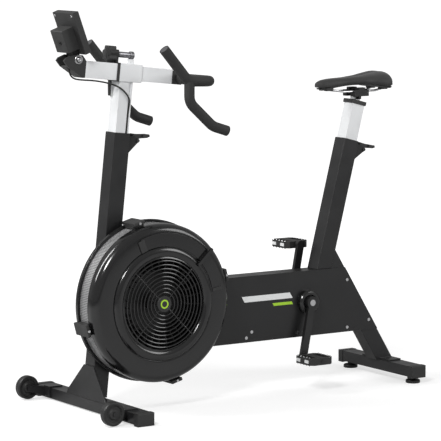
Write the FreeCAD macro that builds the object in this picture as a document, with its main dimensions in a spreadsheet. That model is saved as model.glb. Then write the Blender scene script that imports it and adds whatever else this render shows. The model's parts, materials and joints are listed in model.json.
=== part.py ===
import FreeCAD, Part
import Sketcher
import math
import os

# Exercise bike with an air fan. X runs forward, Y to the rider's left, Z up.
# The origin is on the floor, in the middle of the machine's footprint.

SIZES = {
    # square tubes and cross bars
    "tube_side": 54.0,
    "tube_wall": 3.2,
    "slider_side": 46.0,
    "slider_wall": 3.0,
    "bar_depth": 54.0,
    "bar_height": 34.0,
    "bar_wall": 3.0,
    "cap_length": 25.0,
    "cap_lip": 1.0,
    "cap_drop": 4.0,
    "front_bar_at": 491.0,
    "front_bar_half": 305.0,
    "rear_bar_at": 582.0,
    "rear_bar_half": 198.0,
    "rear_bar_base": 22.0,
    # transport wheels and levelling feet
    "wheel_radius": 36.0,
    "wheel_width": 24.0,
    "wheel_front": 574.0,
    "wheel_side": 252.0,
    "wheel_rise": 38.0,
    "foot_radius": 23.0,
    "foot_side": 166.0,
    # leaning members
    "post_lean": 6.2,
    "post_foot": 484.8,
    "stem_rise": 1003.0,
    "post_top": 178.0,
    "seat_lean": 14.5,
    "seat_head_back": 475.3,
    "seat_head_rise": 900.0,
    "seat_tube_top": 139.0,
    "leg_lean": 31.9,
    "leg_top_back": 357.0,
    "leg_top_rise": 406.0,
    # body between the tubes
    "body_top": 364.0,
    "body_base": 158.0,
    "body_half": 27.0,
    "rail_height": 16.0,
    "panel_thick": 3.0,
    "screw_radius": 5.0,
    # drive
    "crank_back": 268.5,
    "crank_rise": 266.6,
    "crank_throw": 170.0,
    "crank_angle": 13.5,
    "boss_radius": 38.0,
    "spindle_radius": 10.0,
    "crank_pulley_radius": 70.0,
    "lay_front": 60.0,
    "lay_rise": 262.0,
    "lay_small_radius": 24.0,
    "lay_large_radius": 66.0,
    "fan_pulley_radius": 18.0,
    "shaft_radius": 8.0,
    "belt_width": 12.0,
    "belt_thick": 3.0,
    "running_gap": 0.05,
    "clear_gap": 0.4,
    "pedal_length": 86.0,
    "pedal_width": 92.0,
    "pedal_height": 22.0,
    # fan and its covers
    "fan_front": 327.5,
    "fan_rise": 323.0,
    "fan_radius": 204.0,
    "rear_cover_radius": 244.0,
    "band_radius": 235.0,
    "front_cover_radius": 238.0,
    "face_outer": 218.0,
    "face_inner": 170.0,
    "grille_radius": 140.0,
    "cover_wall": 3.0,
    "cover_back": 32.0,
    "cover_seam": 50.0,
    "cover_front_seam": 98.0,
    "face_out": 136.0,
    "grille_out": 144.0,
    # stem, handlebar and monitor
    "collar_side": 54.0,
    "sleeve_side": 50.0,
    "slide_side": 44.0,
    "knob_radius": 26.0,
    "knob_rise": 52.0,
    "bar_core_radius": 12.0,
    "grip_radius": 15.5,
    "bar_half_width": 215.0,
    "monitor_lean": 20.0,
    "monitor_width": 118.0,
    "monitor_thick": 20.0,
    "battery_width": 70.0,
    "cable_diameter": 5.0,
    # saddle
    "saddle_nose": 153.0,
    "saddle_gap": 14.0,
    "rail_radius": 3.5,
}

V = FreeCAD.Vector
UPRIGHT = FreeCAD.Rotation()
doc = FreeCAD.newDocument("ExerciseBike")
sheet = doc.addObject("Spreadsheet::Sheet", "Sizes")
nodes = []


def fill_sheet():
    for row, (alias, value) in enumerate(SIZES.items(), start=1):
        sheet.set(f"A{row}", alias)
        sheet.set(f"B{row}", str(value))
        sheet.setAlias(f"B{row}", alias)
    doc.recompute()


fill_sheet()
S = type("Sheet", (), {name: float(sheet.get(name)) for name in SIZES})


# ---------------------------------------------------------------- frames

def leaning(x, z, lean):
    """A frame at (x, 0, z) whose own Z leans back by lean degrees."""
    return FreeCAD.Placement(V(x, 0, z), FreeCAD.Rotation(V(0, 1, 0), -lean))


def along_post(z):
    """X of the front post's axis at height z."""
    rise = z - S.bar_height - S.cap_drop
    return S.post_foot - math.tan(math.radians(S.post_lean)) * rise


WORLD = FreeCAD.Placement()
POST = leaning(along_post(S.stem_rise), S.stem_rise, S.post_lean)
SEAT = leaning(-S.seat_head_back, S.seat_head_rise, S.seat_lean)
LEG = leaning(-S.leg_top_back, S.leg_top_rise, -S.leg_lean)
PIVOT = POST.multVec(V(171, 0, 26))
MONITOR = leaning(PIVOT.x, PIVOT.z, -S.monitor_lean)
CRANK = FreeCAD.Placement(V(-S.crank_back, 0, S.crank_rise), UPRIGHT)
FAN = FreeCAD.Placement(V(S.fan_front, 0, S.fan_rise), UPRIGHT)
LAY = FreeCAD.Placement(V(S.lay_front, 0, S.lay_rise), UPRIGHT)


# ---------------------------------------------------------------- makers

def bind(obj, **sizes):
    """Tie each property to an expression in the sheet's aliases."""
    for name, text in sizes.items():
        words = [f"Sizes.{w}" if w in SIZES else w for w in text.split()]
        obj.setExpression(name, " ".join(words))


def helper(kind, name="Form"):
    return doc.addObject(kind, name)


def block(size, low, frame=WORLD):
    """A box: size is three expressions, low its lowest corner in the frame."""
    box = helper("Part::Box")
    bind(box, Length=size[0], Width=size[1], Height=size[2])
    box.Placement = frame.multiply(FreeCAD.Placement(V(*low), UPRIGHT))
    return box


TURNS = {
    "x": FreeCAD.Rotation(V(0, 1, 0), 90),
    "y": FreeCAD.Rotation(V(1, 0, 0), -90),
    "z": UPRIGHT,
}


def rod(radius, length, base, axis="z", frame=WORLD):
    """A cylinder from base along the frame's own axis."""
    cylinder = helper("Part::Cylinder")
    bind(cylinder, Radius=radius, Height=length)
    cylinder.Placement = frame.multiply(FreeCAD.Placement(V(*base), TURNS[axis]))
    return cylinder


def fuse(*pieces):
    joined = helper("Part::MultiFuse")
    joined.Shapes = list(pieces)
    joined.Refine = True
    return joined


def cut(base, *tools):
    result = helper("Part::Cut")
    result.Base = base
    result.Tool = tools[0] if len(tools) == 1 else fuse(*tools)
    return result


def common(base, tool):
    result = helper("Part::Common")
    result.Base = base
    result.Tool = tool
    return result


def group(*pieces):
    """Several separate solids kept as one node."""
    together = helper("Part::Compound")
    together.Links = list(pieces)
    return together


def mirrored(piece):
    """The same piece on the other side of the machine."""
    other = helper("Part::Mirroring")
    other.Source = piece
    other.Base = V(0, 0, 0)
    other.Normal = V(0, 1, 0)
    return other


def solid(shape):
    """A free form, set from Part's own functions."""
    feature = helper("Part::Feature")
    feature.Shape = shape
    return feature


def node(label, piece):
    piece.Label = label
    nodes.append(piece)
    return piece


def origin_plane(body, role):
    return next(f for f in body.Origin.OriginFeatures if f.Role == role)


def outline(body, role, points):
    """A closed sketch: each point is a pair of numbers or sheet expressions."""
    sketch = body.newObject("Sketcher::SketchObject", "Outline")
    sketch.AttachmentSupport = [(origin_plane(body, role), "")]
    sketch.MapMode = "FlatFace"
    plain = [V(number(a), number(b), 0) for a, b in points]
    count = len(plain)
    for i in range(count):
        sketch.addGeometry(Part.LineSegment(plain[i], plain[(i + 1) % count]), False)
    for i in range(count):
        sketch.addConstraint(Sketcher.Constraint("Coincident", i, 2, (i + 1) % count, 1))
    for i, pair in enumerate(points):
        for kind, value in zip(("DistanceX", "DistanceY"), pair):
            fixed = Sketcher.Constraint(kind, -1, 1, i, 1, number(value))
            at = sketch.addConstraint(fixed)
            if isinstance(value, str):
                bind(sketch, **{f"Constraints[{at}]": value})
    return sketch


def number(value):
    """A number, or the value of an expression: sums of products, no brackets."""
    if not isinstance(value, str):
        return float(value)
    total = 0.0
    term = 1.0
    action = "*"
    for word in value.split():
        if word in ("+", "-"):
            total += term
            term = 1.0 if word == "+" else -1.0
            action = "*"
        elif word in ("*", "/"):
            action = word
        else:
            amount = SIZES[word] if word in SIZES else float(word)
            term = term * amount if action == "*" else term / amount
            action = "*"
    return total + term


def padded(points, length, plane="XZ_Plane", start=0.0, frame=WORLD):
    """A body padded from an outline; XZ outlines grow towards +Y from start."""
    body = doc.addObject("PartDesign::Body", "Body")
    sketch = outline(body, plane, points)
    pad = body.newObject("PartDesign::Pad", "Pad")
    pad.Profile = sketch
    bind(pad, Length=length)
    pad.Reversed = plane == "XZ_Plane"
    offset = V(0, start, 0) if plane == "XZ_Plane" else V(start, 0, 0)
    body.Placement = frame.multiply(FreeCAD.Placement(offset, UPRIGHT))
    return body


def turned(points, frame):
    """A body turned about the frame's Y axis; points are (radius, y)."""
    body = doc.addObject("PartDesign::Body", "Body")
    sketch = outline(body, "XY_Plane", points)
    spin = body.newObject("PartDesign::Revolution", "Turn")
    spin.Profile = sketch
    spin.ReferenceAxis = (sketch, ["V_Axis"])
    spin.Angle = 360
    body.Placement = frame
    return body


def polar_row(body, feature, count):
    """Repeat a body's feature round the body's Y axis."""
    row = body.newObject("PartDesign::PolarPattern", "Row")
    row.Originals = [feature]
    row.Axis = (next(f for f in body.Origin.OriginFeatures if f.Role == "Y_Axis"), [""])
    row.Angle = 360
    row.Occurrences = count
    body.Tip = row
    return row


def rounded_path(points, radii):
    """Straight runs joined by tangent arcs of the given radii, as one wire."""
    edges = []
    start = points[0]
    for i in range(1, len(points) - 1):
        corner = points[i]
        back = (points[i - 1] - corner).normalize()
        ahead = (points[i + 1] - corner).normalize()
        half = back.getAngle(ahead) / 2
        reach = radii[i - 1] / math.tan(half)
        first = corner + back * reach
        last = corner + ahead * reach
        middle = (back + ahead).normalize()
        centre = corner + middle * (radii[i - 1] / math.sin(half))
        top = centre - middle * radii[i - 1]
        edges.append(Part.LineSegment(start, first).toShape())
        edges.append(Part.Arc(first, top, last).toShape())
        start = last
    edges.append(Part.LineSegment(start, points[-1]).toShape())
    return Part.Wire(edges)


def pipe(points, radii, radius):
    """A round bar that follows the rounded path."""
    path = rounded_path(points, radii)
    heading = points[1] - points[0]
    ring = Part.Wire([Part.makeCircle(radius, points[0], heading)])
    return path.makePipeShell([ring], True, False)


# ---------------------------------------------------------------- base

BAR_TOP = S.bar_height + S.cap_drop
REAR_TOP = S.rear_bar_base + S.bar_height


def cross_bar(label, x, base, half, half_name, holes=()):
    """A hollow bar across the machine, short of its ends by the caps."""
    outer_y = half - S.cap_length
    size = ("bar_depth", f"2 * ( {half_name} - cap_length )", "bar_height")
    outer = block(size, (x - S.bar_depth / 2, -outer_y, base))
    inner_size = ("bar_depth - 2 * bar_wall", f"2 * {half_name}", "bar_height - 2 * bar_wall")
    inner_low = (x - S.bar_depth / 2 + S.bar_wall, -half, base + S.bar_wall)
    return node(label, cut(outer, block(inner_size, inner_low), *holes))


def end_cap(x, base, half):
    """A moulded cap with a plug inside the bar; its sole hangs below the bar."""
    lip = S.cap_lip
    depth = "bar_depth + 2 * cap_lip"
    height = "bar_height + cap_lip + cap_drop"
    low = (x - S.bar_depth / 2 - lip, half - S.cap_length, base - S.cap_drop)
    shell = block((depth, "cap_length", height), low)
    rounded = helper("Part::Fillet")
    rounded.Base = shell
    doc.recompute()
    outer_y = half - 0.01
    edges = [i for i, e in enumerate(shell.Shape.Edges, 1) if e.BoundBox.YMin > outer_y]
    rounded.Edges = [(i, 4.0, 4.0) for i in edges]
    gap = S.bar_wall + 0.5
    plug_size = ("bar_depth - 2 * bar_wall - 1", "cap_length", "bar_height - 2 * bar_wall - 1")
    plug_low = (x - S.bar_depth / 2 + gap, half - 2 * S.cap_length, base + gap)
    return fuse(rounded, block(plug_size, plug_low))


def make_base():
    cross_bar("front_bar", S.front_bar_at, S.cap_drop, S.front_bar_half, "front_bar_half")
    threads = [rod("5 + running_gap", "12", (-S.rear_bar_at, y, S.rear_bar_base - 4))
               for y in (-S.foot_side, S.foot_side)]
    cross_bar("rear_bar", -S.rear_bar_at, S.rear_bar_base, S.rear_bar_half, "rear_bar_half", threads)
    front = end_cap(S.front_bar_at, S.cap_drop, S.front_bar_half)
    # the levelling feet's threads pass up through the rear plugs
    stem = (-S.rear_bar_at, S.foot_side, S.rear_bar_base - 4)
    rear = cut(
        end_cap(-S.rear_bar_at, S.rear_bar_base, S.rear_bar_half),
        rod("5 + clear_gap", "30", stem),
    )
    node("bar_end_caps", group(front, mirrored(front), rear, mirrored(rear)))


def wheel_bracket():
    """An arm from the bar's front face, with a strap over the bar and a stub axle."""
    inner = S.wheel_side - S.wheel_width / 2 - 2
    face = S.front_bar_at + S.bar_depth / 2
    arm = padded(
        [
            (face, 10), (face + 14, 12), ("wheel_front + 8", 30), ("wheel_front + 8", 46),
            ("wheel_front - 8", 46), (face, BAR_TOP),
        ],
        "7", start=inner - 7,
    )
    foot = block(("6", "34", "30"), (face, inner - 34, 8))
    strap = block(("46", "34", "4"), (face - 40, inner - 34, BAR_TOP))
    axle = rod("6", "wheel_width + 6", (S.wheel_front, inner - 1, S.wheel_rise), "y")
    return fuse(arm, foot, strap, axle)


def wheel(label, side):
    half = S.wheel_width / 2
    at = FreeCAD.Placement(V(S.wheel_front, side * S.wheel_side, S.wheel_rise), UPRIGHT)
    points = [
        ("6 + running_gap", -half), (15, -half), (17, -8), (26, -8), (28, -half),
        ("wheel_radius - 3", -half), ("wheel_radius", -half + 4), ("wheel_radius", half - 4),
        ("wheel_radius - 3", half), (28, half), (26, 8), (17, 8), (15, half),
        ("6 + running_gap", half),
    ]
    node(label, turned(points, at))


def levelling_foot(label, side):
    """A pad on a threaded stem that screws up into the bar's floor."""
    x = -S.rear_bar_at
    y = side * S.foot_side
    pad = rod("foot_radius", "12", (x, y, 0))
    neck = rod("9", "6", (x, y, 12))
    stem = rod("5", "rear_bar_base + 6", (x, y, 12))
    node(label, fuse(pad, neck, stem))


def make_running_gear():
    near = wheel_bracket()
    node("wheel_brackets", group(near, mirrored(near)))
    wheel("left_wheel", 1)
    wheel("right_wheel", -1)
    levelling_foot("left_foot", 1)
    levelling_foot("right_foot", -1)


# ---------------------------------------------------------------- frame

def square_bar(side, low, length, frame):
    """A square bar along the frame's Z, centred on it."""
    half = number(side) / 2
    return block((side, side, length), (-half, -half, low), frame)


def space_above(z):
    return block(("2000", "1000", "2000"), (-1000, -500, z))


def make_front_post():
    low = -1100.0
    length = f"{-low} - post_top"
    outer = common(square_bar("tube_side", low, length, POST), space_above(BAR_TOP))
    inner_side = S.tube_side - 2 * S.tube_wall
    inner = block(
        ("tube_side - 2 * tube_wall", "tube_side - 2 * tube_wall", "1200"),
        (-inner_side / 2, -inner_side / 2, -1180), POST,
    )
    node("front_post", cut(outer, inner))


def make_gusset():
    """A flared plate on the post's front face, down to the cross bar."""
    front = S.tube_side / 2
    plate = padded(
        [(-116, -990), (116, -990), (106, -960), (27, -876), (-27, -876), (-106, -960)],
        "5", plane="YZ_Plane", start=front, frame=POST,
    )
    node("post_gusset", common(plate, space_above(BAR_TOP)))


def make_seat_tube():
    low = -620.0
    outer = square_bar("tube_side", low, f"{-low} - seat_tube_top", SEAT)
    trimmed = common(outer, space_above(S.body_top))
    inner_side = S.tube_side - 2 * S.tube_wall
    inner = block(
        ("tube_side - 2 * tube_wall", "tube_side - 2 * tube_wall", "700"),
        (-inner_side / 2, -inner_side / 2, -690), SEAT,
    )
    node("seat_tube", cut(trimmed, inner))


def leg_bar(side="tube_side"):
    return square_bar(side, -520.0, "640", LEG)


def make_rear_leg():
    """The brace from the seat tube's back down to the rear bar, with its foot flange."""
    bar = common(leg_bar(), space_above(REAR_TOP))
    seat_side = square_bar("tube_side", -700.0, "900", SEAT)
    ahead = block(("400", "200", "900"), (0, -100, -700), SEAT)
    hollow = square_bar("tube_side - 2 * tube_wall", -600.0, "800", LEG)
    flange = block(("50", "140", "5"), (-S.rear_bar_at - 25, -70, REAR_TOP))
    shell = cut(bar, seat_side, ahead, hollow)
    lower_hollow = common(hollow, space_above(REAR_TOP + 5))
    node("rear_leg", cut(fuse(shell, flange), lower_hollow))


def rail(base):
    """A hollow rail from the rear leg to the front post."""
    width = "2 * body_half"
    size = ("900", width, "rail_height")
    bar = block(size, (-420, -S.body_half, base))
    hollow = block(
        ("1000", "2 * body_half - 6", "rail_height - 6"),
        (-470, -S.body_half + 3, base + 3),
    )
    behind_leg = block(("400", "200", "1200"), (-400 - S.tube_side / 2, -100, -700), LEG)
    post_side = square_bar("tube_side", -1100.0, "1000", POST)
    ahead = block(("400", "200", "1000"), (0, -100, -1100), POST)
    return cut(bar, hollow, behind_leg, leg_bar(), post_side, ahead)


def panel_outline():
    slope = math.tan(math.radians(S.leg_lean))
    across = S.tube_side / 2 / math.cos(math.radians(S.leg_lean))

    def rear(z):
        return -S.leg_top_back - slope * (S.leg_top_rise - z) - across

    def front(z):
        return along_post(z) - S.tube_side / 2 - 4

    return [
        (rear(S.body_base), "body_base"), (front(S.body_base), "body_base"),
        (front(S.body_top), "body_top"), (rear(S.body_top), "body_top"),
    ]


SCREW_PLACES = [
    (-422, 324), (-508, 189.5), (-423, 172.4), (-230.6, 172.2), (-59.4, 189.7),
    (-39.4, 172.6), (150, 172), (395, 172), (395, 345),
]


def make_panels():
    # the left panel lies on the rails and on the side of the leg
    plate = padded(panel_outline(), "panel_thick", start=S.tube_side / 2)
    holes = [
        rod("14", "20", (-S.crank_back, S.body_half - 5, S.crank_rise), "y"),
        rod("14", "20", (S.fan_front, S.body_half - 5, S.fan_rise), "y"),
    ]
    holes += [rod("3", "20", (x, S.body_half - 5, z), "y") for x, z in SCREW_PLACES]
    left = cut(plate, *holes)
    node("side_panels", group(left, mirrored(left)))


def screw(x, z):
    """A button-head screw through a side panel."""
    face = S.tube_side / 2 + S.panel_thick
    head = rod("screw_radius", "1.6", (x, face, z), "y")
    shank = rod("2.6", "panel_thick", (x, face - S.panel_thick, z), "y")
    return fuse(head, shank)


# ---------------------------------------------------------------- drive

def make_bearing_plates():
    """Upright plates between the rails that carry the three shafts."""
    between = "body_top - body_base - 2 * rail_height"
    plates = []
    places = ((CRANK, "spindle_radius"), (LAY, "shaft_radius"), (FAN, "shaft_radius"))
    for at, bore in places:
        plate_low = (at.Base.x - 24, 12, S.body_base + S.rail_height)
        plate = block(("48", "body_half - 12", between), plate_low)
        hole = rod(f"{bore} + running_gap", "40", (at.Base.x, 0, at.Base.z), "y")
        plates.append(cut(plate, hole))
    node("bearing_plates", group(*plates))


def make_crank_bosses():
    """Round caps on the panels round the crank spindle."""
    face = S.tube_side / 2 + S.panel_thick
    points = [
        ("spindle_radius + clear_gap", face), ("boss_radius", face), ("boss_radius", face + 15),
        ("boss_radius - 5", face + 20), (24, face + 20), (22, face + 18), (22, face + 12),
        ("spindle_radius + clear_gap", face + 12),
    ]
    left = turned(points, CRANK)
    node("crank_bosses", group(left, mirrored(left)))


def grooved_wheel(radius, low, width, bore, frame):
    """A pulley with a flat rim and a thinner web."""
    high = low + width
    web = 4.0
    middle = (low + high) / 2
    size = number(radius)
    points = [
        (bore, low), (bore + 8, low), (bore + 8, middle - web / 2),
        (size - 8, middle - web / 2), (size - 8, low), (radius, low), (radius, high),
        (size - 8, high), (size - 8, middle + web / 2), (bore + 8, middle + web / 2),
        (bore + 8, high), (bore, high),
    ]
    return turned(points, frame)


FIRST_LOW = -6.0
SECOND_LOW = -22.0


def make_shafts():
    half = 62.0
    node("crank_spindle", rod("spindle_radius", f"2 * {half}", (0, -half, 0), "y", CRANK))
    wheel_body = grooved_wheel(
        "crank_pulley_radius", FIRST_LOW, S.belt_width, S.spindle_radius, CRANK)
    node("crank_pulley", wheel_body)
    node("lay_shaft", rod("shaft_radius", "47", (0, -24, 0), "y", LAY))
    small = turned(
        [
            ("shaft_radius", SECOND_LOW), ("lay_large_radius", SECOND_LOW),
            ("lay_large_radius", SECOND_LOW + 12), ("lay_small_radius", SECOND_LOW + 12),
            ("lay_small_radius", 6), ("shaft_radius", 6),
        ],
        LAY,
    )
    node("lay_pulley", small)
    shaft = rod("shaft_radius", "140", (0, -24, 0), "y", FAN)
    pulley = rod("fan_pulley_radius", "belt_width", (0, SECOND_LOW, 0), "y", FAN)
    node("fan_shaft", fuse(shaft, pulley))


def loop_wire(first, r_first, second, r_second, y):
    """The taut outline round two circles, as a wire in the plane y."""
    span = second - first
    turn = math.atan2(span.z, span.x)
    tilt = math.acos((r_first - r_second) / span.Length)
    edges = []
    ends = []
    for sign in (1, -1):
        angle = turn + sign * tilt
        way = V(math.cos(angle), 0, math.sin(angle))
        ends.append((first + way * r_first, second + way * r_second))
    back = V(-math.cos(turn), 0, -math.sin(turn))
    lift = V(0, y, 0)
    (upper_a, upper_b), (lower_a, lower_b) = ends
    edges.append(Part.LineSegment(upper_a + lift, upper_b + lift).toShape())
    edges.append(Part.Arc(upper_b + lift, second - back * r_second + lift, lower_b + lift).toShape())
    edges.append(Part.LineSegment(lower_b + lift, lower_a + lift).toShape())
    edges.append(Part.Arc(lower_a + lift, first + back * r_first + lift, upper_a + lift).toShape())
    return Part.Wire(edges)


def belt(label, first, r_first, second, r_second, low):
    near = S.clear_gap
    far = S.clear_gap + S.belt_thick
    outer = Part.Face(loop_wire(first, r_first + far, second, r_second + far, low))
    inner = Part.Face(loop_wire(first, r_first + near, second, r_second + near, low))
    along = V(0, S.belt_width - 1, 0)
    node(label, solid(outer.extrude(along).cut(inner.extrude(along))))


def make_belts():
    belt("first_belt", CRANK.Base, S.crank_pulley_radius, LAY.Base, S.lay_small_radius,
         FIRST_LOW + 0.5)
    belt("second_belt", LAY.Base, S.lay_large_radius, FAN.Base, S.fan_pulley_radius,
         SECOND_LOW + 0.5)


def crank_arm(side, turn):
    """One arm with its hub, flared out to the pedal eye, and the pedal's axle."""
    frame = CRANK.multiply(FreeCAD.Placement(V(), FreeCAD.Rotation(V(0, 1, 0), turn)))
    hub_in = 45.0
    eye_in = 60.0
    arm = padded(
        [
            (hub_in + 7, 0), (hub_in + 16, 0), (eye_in + 12, "-1 * crank_throw"),
            (eye_in, "-1 * crank_throw"), (hub_in + 8, -60),
        ] if side > 0 else
        [
            (-hub_in - 7, 0), (-hub_in - 8, -60), (-eye_in, "-1 * crank_throw"),
            (-eye_in - 12, "-1 * crank_throw"), (-hub_in - 16, 0),
        ],
        "24", plane="YZ_Plane", start=-12, frame=frame,
    )
    hub_low = hub_in if side > 0 else -hub_in - 17
    eye_low = eye_in if side > 0 else -eye_in - 14
    axle_low = eye_in + 14 if side > 0 else -eye_in - 14 - 98
    end = -S.crank_throw
    hub = rod("20", "17", (0, hub_low, 0), "y", frame)
    eye = rod("14", "14", (0, eye_low, end), "y", frame)
    axle = rod("6", "98", (0, axle_low, end), "y", frame)
    bore = rod("spindle_radius", "140", (0, -70, 0), "y", frame)
    return cut(fuse(arm, hub, eye, axle), bore)


def pedal(label, side, turn):
    """An open platform on the axle, with two windows either side of its barrel."""
    frame = CRANK.multiply(FreeCAD.Placement(V(), FreeCAD.Rotation(V(0, 1, 0), turn)))
    centre = frame.multVec(V(0, 0, -S.crank_throw))
    gap = 78.0
    low_y = gap if side > 0 else -gap - S.pedal_width
    at = FreeCAD.Placement(V(centre.x, 0, centre.z), UPRIGHT)
    slab_low = (-S.pedal_length / 2, low_y, -S.pedal_height / 2)
    slab = block(("pedal_length", "pedal_width", "pedal_height"), slab_low, at)
    corners = helper("Part::Chamfer")
    corners.Base = slab
    doc.recompute()
    upright = [
        i for i, e in enumerate(slab.Shape.Edges, 1)
        if e.BoundBox.ZLength > S.pedal_height - 1
    ]
    corners.Edges = [(i, 12.0, 12.0) for i in upright]
    windows = []
    for x in (-1, 1):
        low_x = 14 if x > 0 else -S.pedal_length / 2 + 7
        size = ("pedal_length / 2 - 21", "pedal_width - 28", "40")
        windows.append(block(size, (low_x, low_y + 14, -20), at))
    bore = rod("6 + running_gap", "pedal_width + 20", (0, low_y - 10, 0), "y", at)
    node(label, cut(corners, bore, *windows))


LEFT_TURN = -S.crank_angle
RIGHT_TURN = 180.0 - S.crank_angle


def make_cranks():
    node("crank_arms", group(crank_arm(1, LEFT_TURN), crank_arm(-1, RIGHT_TURN)))
    pedal("left_pedal", 1, LEFT_TURN)
    pedal("right_pedal", -1, RIGHT_TURN)


# ---------------------------------------------------------------- fan

def make_rear_cover():
    back = S.cover_back
    wall = S.cover_wall
    panel_face = S.tube_side / 2 + S.panel_thick
    points = [
        (16, panel_face), (36, panel_face), (36, back), ("rear_cover_radius - 8", back),
        ("rear_cover_radius", back + 7), ("rear_cover_radius", "cover_seam"),
        ("band_radius - 4", "cover_seam"), ("band_radius - 4", "cover_seam - 3"),
        ("rear_cover_radius - 3", "cover_seam - 3"), ("rear_cover_radius - 3", back + 9),
        ("rear_cover_radius - 9", back + wall), (16, back + wall),
    ]
    node("rear_cover", turned(points, FAN))


def make_band():
    points = [
        ("band_radius - 2", "cover_seam"), ("band_radius", "cover_seam"),
        ("band_radius", "cover_front_seam"), ("band_radius - 2", "cover_front_seam"),
    ]
    node("screen_band", turned(points, FAN))


def make_front_cover():
    """The domed face, its inner cone and the ring grille, moulded in one."""
    seam = "cover_front_seam"
    outside = [
        ("band_radius - 4", seam), ("front_cover_radius", seam),
        ("front_cover_radius", "cover_front_seam + 12"), ("front_cover_radius - 4", 124),
        ("front_cover_radius - 11", 132), ("face_outer", "face_out"),
        ("face_inner", "face_out"), ("face_inner - 12", "face_out + 5"),
        ("grille_radius + 4", "grille_out"), ("grille_radius - 4", "grille_out"),
    ]
    inside = [
        ("grille_radius - 4", "grille_out - 4"), ("grille_radius + 3", "grille_out - 4"),
        ("face_inner - 13", "face_out + 1"), ("face_inner - 1", "face_out - 4"),
        ("face_outer", "face_out - 4"), ("front_cover_radius - 13", 128),
        ("front_cover_radius - 7", 121), ("front_cover_radius - 4", "cover_front_seam + 10"),
        ("front_cover_radius - 4", "cover_front_seam + 3"),
        ("band_radius - 4", "cover_front_seam + 3"),
    ]
    shell = turned(outside + inside, FAN)
    rings = []
    count = 9
    pitch = (S.grille_radius - 4 - 24) / (count + 0.5)
    for i in range(count):
        radius = 24 + pitch * (i + 0.75)
        rings.append(turned(
            [
                (radius, "grille_out - 4"), (radius + 4, "grille_out - 4"),
                (radius + 4, "grille_out"), (radius, "grille_out"),
            ],
            FAN,
        ))
    hub = rod("24", "4", (0, S.grille_out - 4, 0), "y", FAN)
    spokes = []
    for turn in (45, 135, 225, 315):
        frame = FAN.multiply(FreeCAD.Placement(V(), FreeCAD.Rotation(V(0, 1, 0), turn)))
        spokes.append(block(("3", "3", "grille_radius - 24"), (-1.5, S.grille_out - 4, 22), frame))
    node("front_cover", fuse(shell, hub, *rings, *spokes))


CLIP_ANGLES = (-15, 75, 165, 255)


def at_fan(angle):
    """A frame at the fan's centre whose Z points outward at the angle, X forward to Z up."""
    return FAN.multiply(FreeCAD.Placement(V(), FreeCAD.Rotation(V(0, 1, 0), 90 - angle)))


def make_clips():
    """Four lugs over the screen band that tie the two covers together."""
    clips = []
    for angle in CLIP_ANGLES:
        frame = at_fan(angle)
        web_low = (-19, S.cover_seam, S.band_radius + 0.5)
        web = block(("38", "cover_front_seam - cover_seam", "16"), web_low, frame)
        strap_low = (-19, S.cover_seam - 13, S.rear_cover_radius + 0.5)
        strap = block(("38", "cover_front_seam - cover_seam + 26", "10"), strap_low, frame)
        clips.append(fuse(web, strap))
    node("cover_clips", group(*clips))


def make_screws():
    screws = [screw(x, z) for x, z in SCREW_PLACES]
    screws += [mirrored(s) for s in screws]
    for angle in CLIP_ANGLES:
        head_low = (0, S.cover_front_seam + 13, S.rear_cover_radius + 5.5)
        screws.append(rod("4", "3", head_low, "y", at_fan(angle)))
    node("cover_screws", group(*screws))


def make_fan_wheel():
    """A bladed wheel: a back plate with its hub, and a row of blades."""
    body = turned(
        [
            ("shaft_radius", 48), (24, 48), (24, 58), ("fan_radius", 58),
            ("fan_radius", 61), (24, 61), (24, 84), ("shaft_radius", 84),
        ],
        FAN,
    )
    sketch = outline(body, "YZ_Plane", [(60, 96), (112, 96), (112, "fan_radius"), (60, "fan_radius")])
    blade = body.newObject("PartDesign::Pad", "Blade")
    blade.Profile = sketch
    blade.Length = 2.0
    blade.Midplane = True
    doc.recompute()
    plain = body.Shape.Volume
    polar_row(body, blade, 30)
    doc.recompute()
    if body.Shape.Volume < plain * 1.2:
        raise RuntimeError("the blades did not repeat")
    node("fan_wheel", body)


def make_damper():
    """A sector plate on the cover's face with a raised lever bar."""
    face = S.face_out + 0.6
    ring = turned(
        [
            ("face_inner + 4", face), ("face_outer - 6", face),
            ("face_outer - 6", face + 2.5), ("face_inner + 4", face + 2.5),
        ],
        FAN,
    )
    wedge = padded(
        [(0, 0), (112, 277), (-147, 260), (-293, 62)], "30", start=S.face_out - 5, frame=FAN)
    sector = common(ring, wedge)
    frame = at_fan(137)
    foot_low = (-4.5, face + 1, S.face_inner + 6)
    foot = block(("9", "10", "face_outer - face_inner - 16"), foot_low, frame)
    bar = block(("9", "6", "68"), (-4.5, face + 9, S.face_inner - 12), frame)
    node("damper_ring", fuse(sector, foot, bar))


# ---------------------------------------------------------------- height clamps

PIN_BACK = -62.0
PIN_DROP = 20.0


def lever_bracket(frame, top):
    """Two cheeks behind the tube's mouth that carry the lever's pin."""
    back = -S.tube_side / 2
    pin_z = top - PIN_DROP
    points = [
        (back, top - 6), (PIN_BACK + 4, pin_z + 9), (PIN_BACK - 8, pin_z),
        (PIN_BACK + 2, pin_z - 10), (back, top - 66),
    ]
    near = padded(points, "5", start=9, frame=frame)
    far = padded(points, "5", start=-14, frame=frame)
    spine = block(("4", "18.2", "58"), (back - 4, -9.1, top - 65), frame)
    return fuse(near, far, spine)


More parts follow.
